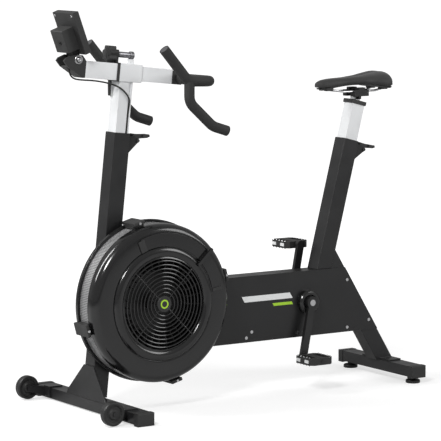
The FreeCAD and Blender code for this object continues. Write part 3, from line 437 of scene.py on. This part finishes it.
BLACK_PAINT = finish("satin_black_paint", (0.0105, 0.0105, 0.011), (0.30, 0.42),
                     grain=(420, 0.05), dust=0.03)
SILVER = finish("anodised_silver", (0.8, 0.81, 0.82), (0.3, 0.42), 0.35,
                grain=(500, 0.08), stretch=(6, (1, 1, 0.04)), dust=0.0)
GLOSS_COVER = finish("glossy_cover", (0.006, 0.006, 0.0063), (0.12, 0.22), grain=(160, 0.02),
                     dust=0.015, coat=0.35)
MATTE_PLASTIC = finish("moulded_plastic", (0.018, 0.018, 0.018), (0.45, 0.6), grain=(900, 0.25))
GRIP = finish("grip_rubber", (0.014, 0.014, 0.014), (0.6, 0.75), pebble=(520, 0.5), dust=0.08)
SADDLE = finish("saddle_vinyl", (0.016, 0.016, 0.016), (0.48, 0.62), pebble=(900, 0.35),
                dust=0.06, sheen=0.15)
RUBBER = finish("wheel_rubber", (0.011, 0.011, 0.011), (0.34, 0.48), grain=(700, 0.15), dust=0.05)
STEEL = finish("bright_steel", (0.62, 0.62, 0.63), (0.18, 0.32), 1.0, grain=(900, 0.1),
               dust=0.0)
DARK_STEEL = finish("dark_steel", (0.2, 0.2, 0.21), (0.3, 0.45), 0.9, grain=(900, 0.1))
FAN_PLASTIC = finish("fan_plastic", (0.012, 0.012, 0.012), (0.4, 0.5), grain=(600, 0.1))
LIME = finish("lime_paint", (0.36, 0.62, 0.03), (0.35, 0.45), grain=(500, 0.05), dust=0.0)
PALE = finish("pale_paint", (0.75, 0.76, 0.76), (0.4, 0.5), grain=(500, 0.05), dust=0.0)
SCREEN_MESH = screen_mesh_finish()
DISPLAY = display_finish()


def coat_with(piece, material):
    piece.data.materials.clear()
    piece.data.materials.append(material)


def settle(piece, body, material, replaces=()):
    """Give a finished piece its finish, its body and the solids it stands for."""
    if material:
        coat_with(piece, material)
    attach(piece, body)
    if replaces:
        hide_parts(*replaces)
    return piece


# ------------------------------------------------------------ cable

def stem_point(u, across, w):
    """A point given forward, left and up the stem, in millimetres."""
    return STEM @ Vector((u / 1000, across / 1000, w / 1000))


CABLE_ROUTE = [
    (196, 12, 10), (193, 12.5, -14), (178, 14, -31), (150, 16, -32.5), (112, 18, -31),
    (78, 21, -33), (50, 25, -37), (24, 28.5, -45), (4, 29.5, -58), (-12.4, 28, -76),
    (-15.4, 22.4, -98), (-14.8, 20.2, -126), (-15.2, 20.3, -168), (-15, 20.2, -212),
]


def make_cable():
    """The monitor's lead, on one smooth curve down beside the stem."""
    line = bpy.data.curves.new("monitor_lead", "CURVE")
    line.dimensions = "3D"
    line.bevel_depth = 0.0025
    line.bevel_resolution = 4
    line.resolution_u = 10
    spline = line.splines.new("NURBS")
    spline.points.add(len(CABLE_ROUTE) - 1)
    for point, place in zip(spline.points, CABLE_ROUTE):
        point.co = (*stem_point(*place), 1.0)
    spline.order_u = 3
    spline.use_endpoint_u = True
    cable = bpy.data.objects.new("monitor_lead", line)
    bpy.context.scene.collection.objects.link(cable)
    line.materials.append(RUBBER)
    settle(cable, "stem", None, ["monitor_cable"])


make_cable()


# ------------------------------------------------------------ frame pieces

def eased_copy(node, width, material, segments=3, flat=1.0, corner=35):
    """A welded copy of a solid with its sharp edges rounded over."""
    only(cad[node])
    bpy.ops.object.duplicate()
    piece = bpy.context.object
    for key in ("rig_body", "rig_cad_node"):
        if key in piece:
            del piece[key]
    piece.parent = None
    piece.name = node + "_eased"
    edit_all(piece)
    bpy.ops.mesh.remove_doubles(threshold=0.00002)
    bpy.ops.mesh.dissolve_limited(angle_limit=math.radians(flat))
    leave_edit()
    if width:
        bevelled(piece, width, segments, corner)
    smoothed(piece)
    return settle(piece, body_of_node[node], material, [node])


EASED = {
    "front_bar": (0.003, BLACK_PAINT),
    "rear_bar": (0.0015, BLACK_PAINT),
    "bar_end_caps": (0.002, MATTE_PLASTIC),
    "wheel_brackets": (0.001, BLACK_PAINT),
    "front_post": (0.0015, BLACK_PAINT),
    "post_gusset": (0.001, BLACK_PAINT),
    "seat_tube": (0.0015, BLACK_PAINT),
    "rear_leg": (0.0015, BLACK_PAINT),
    "body_rails": (0.001, BLACK_PAINT),
    "side_panels": (0.0008, BLACK_PAINT),
    "lever_brackets": (0.001, BLACK_PAINT),
    "post_lever": (0.0015, MATTE_PLASTIC),
    "seat_lever": (0.0015, MATTE_PLASTIC),
    "handlebar_post": (0.0013, SILVER),
    "stem_collar": (0.0018, SILVER),
    "monitor_sleeve": (0.001, SILVER),
    "slide_tube": (0.0014, SILVER),
    "seat_post": (0.0013, SILVER),
    "seat_post_cap": (0.0012, MATTE_PLASTIC),
    "clamp_plate": (0.001, MATTE_PLASTIC),
    "stem_block": (0.0025, MATTE_PLASTIC),
    "monitor_bracket": (0.001, MATTE_PLASTIC),
    "monitor_case": (0.0012, MATTE_PLASTIC),
    "battery_box": (0.001, MATTE_PLASTIC),
    "menu_key": (0.001, RUBBER),
    "units_key": (0.001, RUBBER),
    "display_key": (0.001, RUBBER),
    "cover_clips": (0.002, MATTE_PLASTIC),
    "damper_ring": (0.0006, GLOSS_COVER),
    "crank_bosses": (0.0015, GLOSS_COVER),
    "crank_arms": (0.002, BLACK_PAINT),
    "left_pedal": (0.0015, MATTE_PLASTIC),
    "right_pedal": (0.0015, MATTE_PLASTIC),
    "saddle_cradle": (0.0008, BLACK_PAINT),
    "saddle_base": (0.0015, MATTE_PLASTIC),
}

KEPT = {
    "cover_screws": STEEL,
    "bearing_plates": DARK_STEEL,
    "first_belt": RUBBER,
    "second_belt": RUBBER,
    "crank_spindle": STEEL,
    "crank_pulley": FAN_PLASTIC,
    "lay_shaft": STEEL,
    "lay_pulley": FAN_PLASTIC,
    "fan_shaft": STEEL,
    "fan_wheel": FAN_PLASTIC,
    "handlebar_tube": DARK_STEEL,
    "monitor_screen": DISPLAY,
    "saddle_rails": STEEL,
}


def ease_frame():
    for node, (width, material) in EASED.items():
        eased_copy(node, width, material)
    for node, material in KEPT.items():
        coat_with(cad[node], material)
    eased_copy("grips", 0.0, GRIP, flat=0.1)
    eased_copy("rear_cover", 0.0015, GLOSS_COVER)


ease_frame()


# ------------------------------------------------------------ turned pieces

def turned(name, profile, closed=True, around=128):
    """Turn a profile of (radius, height) about Z by drawing out a ring step by step."""
    radius, height = profile[0]
    clear_selection()
    bpy.ops.mesh.primitive_circle_add(
        vertices=around, radius=radius, fill_type="NOTHING" if closed else "NGON",
        location=(0, 0, height))
    piece = bpy.context.object
    piece.name = name
    bpy.ops.object.transform_apply(location=True, rotation=True, scale=True)
    edit_all(piece)
    steps = list(profile[1:]) + ([profile[0]] if closed else [])
    for new_radius, new_height in steps:
        bpy.ops.mesh.extrude_region_move(
            TRANSFORM_OT_translate={"value": (0, 0, new_height - height)})
        scale = new_radius / radius
        bpy.ops.transform.resize(
            value=(scale, scale, 1), center_override=(0, 0, new_height))
        radius = new_radius
        height = new_height
    bpy.ops.mesh.select_all(action="SELECT")
    bpy.ops.mesh.remove_doubles(threshold=0.00001)
    bpy.ops.mesh.normals_make_consistent(inside=False)
    leave_edit()
    return piece


def in_metres(points):
    return [(a / 1000, b / 1000) for a, b in points]


def arc_points(centre, size, start, stop, steps):
    """Points on an ellipse, from one angle to another, in (radius, height)."""
    points = []
    for i in range(steps + 1):
        angle = math.radians(start + (stop - start) * i / steps)
        points.append((
            centre[0] + size[0] * math.cos(angle), centre[1] + size[1] * math.sin(angle),
        ))
    return points


def make_front_cover():
    """The glossy domed cover, its shoulder, flat face and raised inner ring."""
    shoulder = arc_points((214, 110), (24, 26), 0, 90, 10)
    inner_ring = arc_points((155, 135.2), (15.5, 8.8), 0, 180, 12)
    outside = [(231, 98), (238, 98)] + shoulder + [(176, 136), (171.5, 135.6)]
    outside += inner_ring + [(136.5, 140)]
    inside = [(143, 137), (158, 137), (169, 132), (214, 132), (226, 126), (234, 110), (234, 101),
              (231, 101)]
    cover = turned("fan_cover_shell", in_metres(outside + inside), around=160)
    smoothed(cover, 40, weighted=False)
    seat_in(cover, FAN @ ACROSS)
    settle(cover, "frame", GLOSS_COVER, ["front_cover"])


make_front_cover()


def make_grille():
    """Concentric rings carried on four slanted spokes, round a plain hub."""
    rings = []
    count = 9
    pitch = (136.0 - 24.0) / (count + 0.5)
    for i in range(count):
        clear_selection()
        bpy.ops.mesh.primitive_torus_add(
            major_radius=(26 + pitch * (i + 0.75)) / 1000, minor_radius=0.0023,
            major_segments=120, minor_segments=8, location=(0, 0, 0.1415))
        rings.append(bpy.context.object)
    for quarter in range(4):
        clear_selection()
        bpy.ops.mesh.primitive_cube_add(size=1, location=(0, 0, 0))
        spoke = bpy.context.object
        spoke.scale = (0.118, 0.003, 0.0032)
        spoke.location = (0.079, 0, 0.1405)
        bpy.ops.object.transform_apply(location=True, rotation=True, scale=True)
        bevelled(spoke, 0.0006, 2)
        seat_in(spoke, Matrix.Rotation(math.radians(45 + 90 * quarter), 4, "Z"))
        rings.append(spoke)
    grille = joined("fan_grille", rings)
    smoothed(grille, 40, weighted=False)
    seat_in(grille, FAN @ ACROSS)
    settle(grille, "frame", GLOSS_COVER)


make_grille()


def close_top(piece, height):
    """Fill the open ring at the given height."""
    only(piece)
    bpy.ops.object.mode_set(mode="EDIT")
    bpy.ops.mesh.select_mode(type="VERT")
    bpy.ops.mesh.select_all(action="DESELECT")
    leave_edit()
    for vertex in piece.data.vertices:
        vertex.select = abs(vertex.co.z - height) < 0.00001
    bpy.ops.object.mode_set(mode="EDIT")
    bpy.ops.mesh.edge_face_add()
    bpy.ops.mesh.select_all(action="SELECT")
    bpy.ops.mesh.normals_make_consistent(inside=False)
    leave_edit()


def make_hub_badge():
    """The plain hub with a lime ring let into it."""
    hub = turned("grille_hub", in_metres([
        (24.5, 138.5), (24.5, 142.5), (23, 143.8), (19, 143.8), (18.4, 143.2)]), closed=False)
    close_top(hub, 0.1432)
    smoothed(hub, 30)
    seat_in(hub, FAN @ ACROSS)
    settle(hub, "frame", MATTE_PLASTIC)
    ring = turned("hub_lime_ring", in_metres([
        (9, 143.0), (13.5, 143.0), (13.5, 143.7), (13, 143.9), (9.5, 143.9), (9, 143.7)]))
    smoothed(ring, 30)
    seat_in(ring, FAN @ ACROSS)
    settle(ring, "frame", LIME)


make_hub_badge()


def make_face_tab():
    """A dark raised tab and a small pointer on the fan cover's flat face."""
    for name, angle, middle, size in (("cover_tab", 68, 0.1895, (0.036, 0.022, 0.003)),
                                      ("cover_pointer", 171, 0.192, (0.034, 0.010, 0.0024))):
        clear_selection()
        bpy.ops.mesh.primitive_cube_add(size=1, location=(0, 0, 0))
        tab = bpy.context.object
        tab.name = name
        tab.scale = size
        tab.location = (middle, 0, 0.1364 + size[2] / 2)
        bpy.ops.object.transform_apply(location=True, rotation=True, scale=True)
        bevelled(tab, 0.0008, 2)
        smoothed(tab, 35)
        turn = Matrix.Rotation(math.radians(-angle), 4, "Z")
        seat_in(tab, FAN @ ACROSS @ turn)
        settle(tab, "frame", MATTE_PLASTIC)


make_face_tab()


def make_screen_band():
    """The punched steel strip between the two covers, with a rolled lip each side."""
    strip = turned("fan_screen_strip", in_metres([
        (233.2, 50), (234.8, 50), (234.9, 51.5), (234.2, 52.5), (234.2, 95.5), (234.9, 96.5),
        (234.8, 98), (233.2, 98)]), around=192)
    smoothed(strip, 40)
    seat_in(strip, FAN @ ACROSS)
    settle(strip, "frame", SCREEN_MESH, ["screen_band"])


make_screen_band()


def make_wheels():
    """Solid transport wheels: a rubber tyre on a dished hub."""
    for side in ("left", "right"):
        at = joint_at(side + "_wheel_spin")
        place = Matrix.Translation(at) @ ACROSS
        tyre = turned(side + "_tyre", in_metres(
            [(26.5, -11), (29, -11.8)] + arc_points((31.5, -7), (4.4, 4.9), -90, 0, 5)
            + arc_points((31.5, 7), (4.4, 4.9), 0, 90, 5) + [(29, 11.8), (26.5, 11)]), around=96)
        smoothed(tyre, 40)
        seat_in(tyre, place)
        settle(tyre, "wheel_" + side, RUBBER, [side + "_wheel"])
        hub = turned(side + "_wheel_hub", in_metres([
            (6.3, -12), (14, -12), (16, -9), (17, -6.5), (24.5, -6.5), (25.5, -10.5),
            (26.6, -10.5), (26.6, 10.5), (25.5, 10.5), (24.5, 6.5), (17, 6.5), (16, 9),
            (14, 12), (6.3, 12)]), around=96)
        bevelled(hub, 0.0006, 2, 25)
        smoothed(hub, 35)
        seat_in(hub, place)
        settle(hub, "wheel_" + side, MATTE_PLASTIC)


make_wheels()


def make_wheel_bolts():
    """A bright bolt head in the left face of each wheel's hub."""
    for side in ("left", "right"):
        at = joint_at(side + "_wheel_spin")
        bolt = turned(side + "_wheel_bolt", in_metres([
            (5.8, 11.6), (5.8, 13.6), (5.0, 14.4), (2.6, 14.4), (2.3, 13.4)]),
            closed=False, around=48)
        close_top(bolt, 0.0134)
        smoothed(bolt, 30)
        seat_in(bolt, Matrix.Translation(at) @ ACROSS)
        settle(bolt, "wheel_" + side, STEEL)


make_wheel_bolts()


def make_feet():
    """Levelling feet: a pad, a neck and a threaded stem."""
    for side in ("left", "right"):
        low, high = (Vector(c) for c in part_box(side + "_foot"))
        centre = (low + high) / 2
        profile = [(0.5, 0), (21.5, 0), (23, 1.2), (23, 8), (21.8, 9.6), (18, 11.6), (9.5, 12.6),
                   (9.2, 18)]
        for i in range(7):
            profile += [(4.6, 18.3 + i * 3), (4.95, 19.8 + i * 3)]
        foot = turned(side + "_levelling_foot", in_metres(profile), closed=False, around=64)
        close_top(foot, profile[-1][1] / 1000)
        smoothed(foot, 35)
        seat_in(foot, Matrix.Translation((centre.x, centre.y, low.z)))
        settle(foot, "foot_" + side, RUBBER, [side + "_foot"])


make_feet()


def make_crank_caps():
    """A bright bolt cap in the hub of each crank arm."""
    for side in (1, -1):
        turn = Matrix.Identity(4) if side > 0 else Matrix.Rotation(math.pi, 4, "X")
        place = CRANK @ ACROSS @ turn
        cap = turned("crank_cap_" + ("left" if side > 0 else "right"), in_metres([
            (9.6, 60.8), (9.6, 61.8), (8.8, 62.4), (5.2, 62.4), (4.8, 61.2)]),
            closed=False, around=48)
        close_top(cap, 0.0612)
        smoothed(cap, 30)
        seat_in(cap, place)
        settle(cap, "cranks", STEEL)


make_crank_caps()


# ------------------------------------------------------------ knob, rod

def make_star_knob():
    """A seven-lobed clamp knob with a recessed cap."""
    clear_selection()
    bpy.ops.mesh.primitive_cylinder_add(vertices=112, radius=0.024, depth=0.024)
    knob = bpy.context.object
    for vertex in knob.data.vertices:
        angle = math.atan2(vertex.co.y, vertex.co.x)
        reach = 0.0228 + 0.0030 * math.cos(7 * angle)
        vertex.co.x = reach * math.cos(angle)
        vertex.co.y = reach * math.sin(angle)
    pick_faces(knob, lambda at, normal: normal.z > 0.9)
    bpy.ops.mesh.inset(thickness=0.0035)
    bpy.ops.transform.translate(value=(0, 0, 0.0008))
    bpy.ops.mesh.inset(thickness=0.004)
    bpy.ops.transform.translate(value=(0, 0, -0.0016))
    leave_edit()
    bevelled(knob, 0.0016, 3, 40)
    smoothed(knob, 38)
    along = STEM @ Matrix.Translation((0.0512, 0, 0.052)) @ Matrix.Rotation(math.pi / 2, 4, "Y")
    seat_in(knob, along)
    settle(knob, "knob", MATTE_PLASTIC, ["star_knob"])


make_star_knob()


def make_clamp_rod():
    """The threaded rod and its round nut."""
    profile = [(4, -28), (11, -28), (12, -27), (12, -17), (11, -16), (9, -16)]
    step = 2.0
    at = -15.0
    while at < 49:
        profile += [(8.9, at), (8.2, at + step / 2)]
        at += step
    profile += [(8.2, 49.8)]
    rod = turned("clamp_rod_thread", in_metres(profile), closed=False, around=48)
    close_top(rod, 0.0498)
    smoothed(rod, 30, weighted=False)
    seat_in(rod, STEM @ Matrix.Translation((0, 0, 0.052)) @ Matrix.Rotation(math.pi / 2, 4, "Y"))
    settle(rod, "stem", DARK_STEEL, ["clamp_rod"])


make_clamp_rod()


# ------------------------------------------------------------ pedals

def make_pedal_trim(side):
    """Grip pins along the platform's edges and two pale blocks at each end."""
    node = side + "_pedal"
    low, high = (Vector(c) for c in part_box(node))
    centre = (low + high) / 2
    half = (high - low) / 2
    pins = []
    for face in (1, -1):
        for end in (1, -1):
            for i in range(5):
                clear_selection()
                bpy.ops.mesh.primitive_cone_add(
                    vertices=10, radius1=0.0022, radius2=0.0013, depth=0.003,
                    location=(centre.x + end * (half.x - 0.004),
                              centre.y + (i - 2) * half.y * 0.34,
                              centre.z + face * (half.z + 0.0012)),
                    rotation=(0 if face > 0 else math.pi, 0, 0))
                pins.append(bpy.context.object)
    trim = joined(side + "_pedal_pins", pins)
    seat_in(trim, Matrix.Identity(4))
    smoothed(trim, 40, weighted=False)
    settle(trim, "pedal_" + side, STEEL)
    strips = []
    for end, shift in ((1, 0.022), (1, -0.022), (-1, 0.022), (-1, -0.022)):
        clear_selection()
        bpy.ops.mesh.primitive_cube_add(size=1, location=(0, 0, 0))
        strip = bpy.context.object
        strip.scale = (0.003, 0.020, 0.010)
        strip.location = (centre.x + end * (half.x + 0.0002), centre.y + shift, centre.z)
        bpy.ops.object.transform_apply(location=True, rotation=True, scale=True)
        strips.append(bevelled(strip, 0.0008, 2))
    reflectors = joined(side + "_pedal_reflectors", strips)
    smoothed(reflectors, 30)
    settle(reflectors, "pedal_" + side, PALE)


make_pedal_trim("left")
make_pedal_trim("right")


# ------------------------------------------------------------ saddle

# distance back from the nose, half width, underside and top, in millimetres
SADDLE_STATIONS = (
    (0, 9, 2, 17), (12, 16, -1, 24), (45, 20.5, 2, 28), (100, 26.5, 9, 31), (150, 41.5, 11, 35),
    (195, 65, 6, 42), (225, 71.5, 0, 48), (250, 64, 1, 45), (264, 44, 7, 33),
)
# how much of the way between two stations eases in and out; the rest is straight
STATION_EASE = 0.35
# the pressure channel down the middle of the cushion, in millimetres
CHANNEL_WIDTH = 7.5
CHANNEL_DEPTH = 5.5
# how far the cushion's underside and the welt sit above each station's underside, in metres
CUSHION_GAP = 0.0012
WELT_RISE = 0.0040


def between_stations(distance, column):
    """A smooth value between the saddle's stations."""
    for first, second in zip(SADDLE_STATIONS, SADDLE_STATIONS[1:]):
        if distance <= second[0]:
            share = max(0.0, (distance - first[0]) / (second[0] - first[0]))
            eased = share * share * (3 - 2 * share)
            share = eased * STATION_EASE + share * (1 - STATION_EASE)
            return first[column] + (second[column] - first[column]) * share
    return SADDLE_STATIONS[-1][column]


def make_cushion():
    """The padded saddle: a crowned form, wide behind, with a pressure channel."""
    low, high = (Vector(c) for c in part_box("saddle_cushion"))
    length = (high.x - low.x) * 1000
    clear_selection()
    bpy.ops.mesh.primitive_cube_add(size=2)
    cushion = bpy.context.object
    cushion.name = "saddle_pad"
    edit_all(cushion)
    bpy.ops.mesh.subdivide(number_cuts=17)
    leave_edit()
    for vertex in cushion.data.vertices:
        a, b, c = vertex.co
        back = (1 - a) / 2 * length
        half = between_stations(back, 1)
        under = between_stations(back, 2)
        tall = between_stations(back, 3) - under
        rise = (c + 1) / 2
        crown = 1 - 0.24 * b ** 2 - 0.2 * b ** 6
        bulge = 1 - 0.10 * (1 - math.sin(math.pi * min(1.0, 0.15 + rise * 0.8)))
        across = b * half * bulge
        channel = math.exp(-(across / CHANNEL_WIDTH) ** 2)
        channel *= max(0.0, min(1.0, (back - 70) / 60))
        channel *= max(0.0, min(1.0, (length - 12 - back) / 30))
        lift = tall * rise * crown - CHANNEL_DEPTH * channel * rise ** 4
        level = low.z + (CUSHION_GAP + (under + max(0.0, lift)) / 1000)
        vertex.co = (high.x - back / 1000, across / 1000, level)
    modifier = cushion.modifiers.new("Foam", "SUBSURF")
    modifier.levels = 2
    modifier.render_levels = 2
    only(cushion)
    bpy.ops.object.modifier_apply(modifier=modifier.name)
    bpy.ops.object.shade_smooth()
    settle(cushion, "saddle", SADDLE, ["saddle_cushion"])


make_cushion()


def make_saddle_welt():
    """The stitched welt where the cover meets the shell."""
    low, high = (Vector(c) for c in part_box("saddle_cushion"))
    line = bpy.data.curves.new("saddle_welt", "CURVE")
    line.dimensions = "3D"
    line.bevel_depth = 0.0012
    line.bevel_resolution = 3
    spline = line.splines.new("NURBS")
    stations = [(s, h * 0.985, u) for s, h, u, _ in SADDLE_STATIONS]
    around = stations + [(s, -h, u) for s, h, u in reversed(stations)]
    spline.points.add(len(around) - 1)
    for point, (back, across, under) in zip(spline.points, around):
        level = low.z + WELT_RISE + under / 1000
        point.co = (high.x - 0.001 - back * 0.992 / 1000, across / 1000, level, 1.0)
    spline.use_cyclic_u = True
    spline.order_u = 3
    welt = bpy.data.objects.new("saddle_welt", line)
    bpy.context.scene.collection.objects.link(welt)
    only(welt)
    bpy.ops.object.convert(target="MESH")
    welt = bpy.context.object
    smoothed(welt, 60, weighted=False)
    settle(welt, "saddle", MATTE_PLASTIC)


make_saddle_welt()


# ------------------------------------------------------------ trim

def make_monitor_bolts():
    """A steel ring and bolt head over each end of the monitor's pivot."""
    pivot = joint_at("monitor_tilt")
    for side, name in ((1, "left"), (-1, "right")):
        place = Matrix.Translation(pivot) @ Matrix.Rotation(-side * math.pi / 2, 4, "X")
        ring = turned("pivot_ring_" + name, in_metres([
            (8.5, 25.2), (13, 25.2), (13, 26.8), (12.2, 27.6), (9.3, 27.6), (8.5, 26.8)]))
        smoothed(ring, 35)
        seat_in(ring, place)
        settle(ring, "monitor", STEEL)
        bolt = turned("pivot_bolt_" + name, in_metres([
            (6.5, 29.6), (6.5, 31.6), (5.7, 32.4), (3.0, 32.4), (2.7, 31.4)]),
            closed=False, around=48)
        close_top(bolt, 0.0314)
        smoothed(bolt, 30)
        seat_in(bolt, place)
        settle(bolt, "monitor", STEEL)


make_monitor_bolts()


def make_battery_latch():
    """A thumb latch on the battery box, and two screws in the case behind it."""
    latch_parts = []
    for size, at in (((3.0, 20.0, 9.0), (31.3, 0, 62)), ((3.0, 14.0, 3.0), (33.6, 0, 64))):
        clear_selection()
        bpy.ops.mesh.primitive_cube_add(size=1, location=(0, 0, 0))
        part = bpy.context.object
        part.scale = [c / 1000 for c in size]
        part.location = [c / 1000 for c in at]
        bpy.ops.object.transform_apply(location=True, rotation=True, scale=True)
        latch_parts.append(bevelled(part, 0.0006, 2))
    latch = joined("battery_latch", latch_parts)
    smoothed(latch, 35)
    seat_in(latch, MONITOR)
    settle(latch, "monitor", RUBBER)
    for side, name in ((1, "left"), (-1, "right")):
        screw = turned("case_screw_" + name, in_metres([
            (3.6, -9.9), (3.6, -9.0), (2.9, -8.2), (1.6, -8.2), (1.4, -8.8)]),
            closed=False, around=32)
        close_top(screw, -0.0088)
        smoothed(screw, 30)
        spot = Matrix.Translation((0, side * 0.048, 0.132)) @ Matrix.Rotation(math.pi / 2, 4, "Y")
        seat_in(screw, MONITOR @ spot)
        settle(screw, "monitor", STEEL)


make_battery_latch()


def make_panel_stripes():
    """Plain slanted stripes and a small lime tag on each side panel."""
    low, high = (Vector(c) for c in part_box("side_panels"))
    for side in (1, -1):
        face = high.y if side > 0 else low.y
        name = "left" if side > 0 else "right"
        bars = (("pale_stripe_", PALE, 0.180, 0.018, -0.118, 0.292),
                ("lime_stripe_", LIME, 0.072, 0.009, -0.176, 0.268),
                ("lime_tag_", LIME, 0.024, 0.030, 0.052, 0.296))
        for label, material, wide, tall, x, z in bars:
            clear_selection()
            bpy.ops.mesh.primitive_cube_add(size=1, location=(0, 0, 0))
            bar = bpy.context.object
            bar.name = label + name
            bar.scale = (wide, 0.0004, tall)
            bar.location = (x, face + side * 0.0001, z)
            bpy.ops.object.transform_apply(location=True, rotation=True, scale=True)
            for vertex in bar.data.vertices:
                vertex.co.x += 0.6 * (vertex.co.z - z)
            smoothed(bar, 30)
            settle(bar, "frame", material)


make_panel_stripes()


# ------------------------------------------------------------ studio

def make_floor():
    """A pale sweep that stays bright behind the bike and still takes its shadow."""
    clear_selection()
    bpy.ops.mesh.primitive_plane_add(size=240, location=(0, 0, 0))
    floor = bpy.context.object
    floor.name = "studio_floor"
    material = bpy.data.materials.new("studio_white")
    material.use_nodes = True
    tree = material.node_tree
    shader = tree.nodes["Principled BSDF"]
    shader.inputs["Base Color"].default_value = (0.52, 0.52, 0.52, 1)
    shader.inputs["Roughness"].default_value = 0.7
    shader.inputs["Specular IOR Level"].default_value = 0.2
    shader.inputs["Emission Color"].default_value = (1, 1, 1, 1)
    # the glow grows away from the bike, so that its shadow still shows round its feet
    place = add_node(tree, "ShaderNodeTexCoord")
    reach = add_node(tree, "ShaderNodeVectorMath", operation="LENGTH")
    tree.links.new(place.outputs["Object"], reach.inputs[0])
    spread = add_node(tree, "ShaderNodeMapRange", interpolation_type="SMOOTHSTEP")
    spread.inputs["From Min"].default_value = 0.7
    spread.inputs["From Max"].default_value = 2.6
    spread.inputs["To Min"].default_value = 0.56
    spread.inputs["To Max"].default_value = 0.90
    tree.links.new(reach.outputs["Value"], spread.inputs["Value"])
    path = add_node(tree, "ShaderNodeLightPath")
    glow = math_node(tree, "MULTIPLY", path.outputs["Is Camera Ray"], spread.outputs["Result"])
    tree.links.new(glow, shader.inputs["Emission Strength"])
    floor.data.materials.append(material)


def make_light(name, place, aim, size, power):
    bpy.ops.object.light_add(type="AREA", location=place)
    light = bpy.context.object
    light.name = name
    light.data.shape = "RECTANGLE"
    light.data.size = size[0]
    light.data.size_y = size[1]
    light.data.energy = power
    way = Vector(aim) - Vector(place)
    light.rotation_euler = way.to_track_quat("-Z", "Y").to_euler()


def make_studio():
    make_floor()
    world = bpy.context.scene.world or bpy.data.worlds.new("studio")
    bpy.context.scene.world = world
    world.use_nodes = True
    backdrop = world.node_tree.nodes["Background"]
    backdrop.inputs["Color"].default_value = (1, 1, 1, 1)
    backdrop.inputs["Strength"].default_value = 0.36
    make_light("key", (3.4, 2.6, 3.6), (0.2, 0, 0.5), (1.1, 1.1), 175)
    make_light("strip", (2.6, -1.2, 2.6), (0.3, 0, 0.5), (0.6, 2.4), 80)
    make_light("fill", (-2.8, 3.2, 2.2), (-0.2, 0, 0.5), (1.6, 2.2), 50)
    bpy.context.scene.view_settings.view_transform = "Standard"


make_studio()
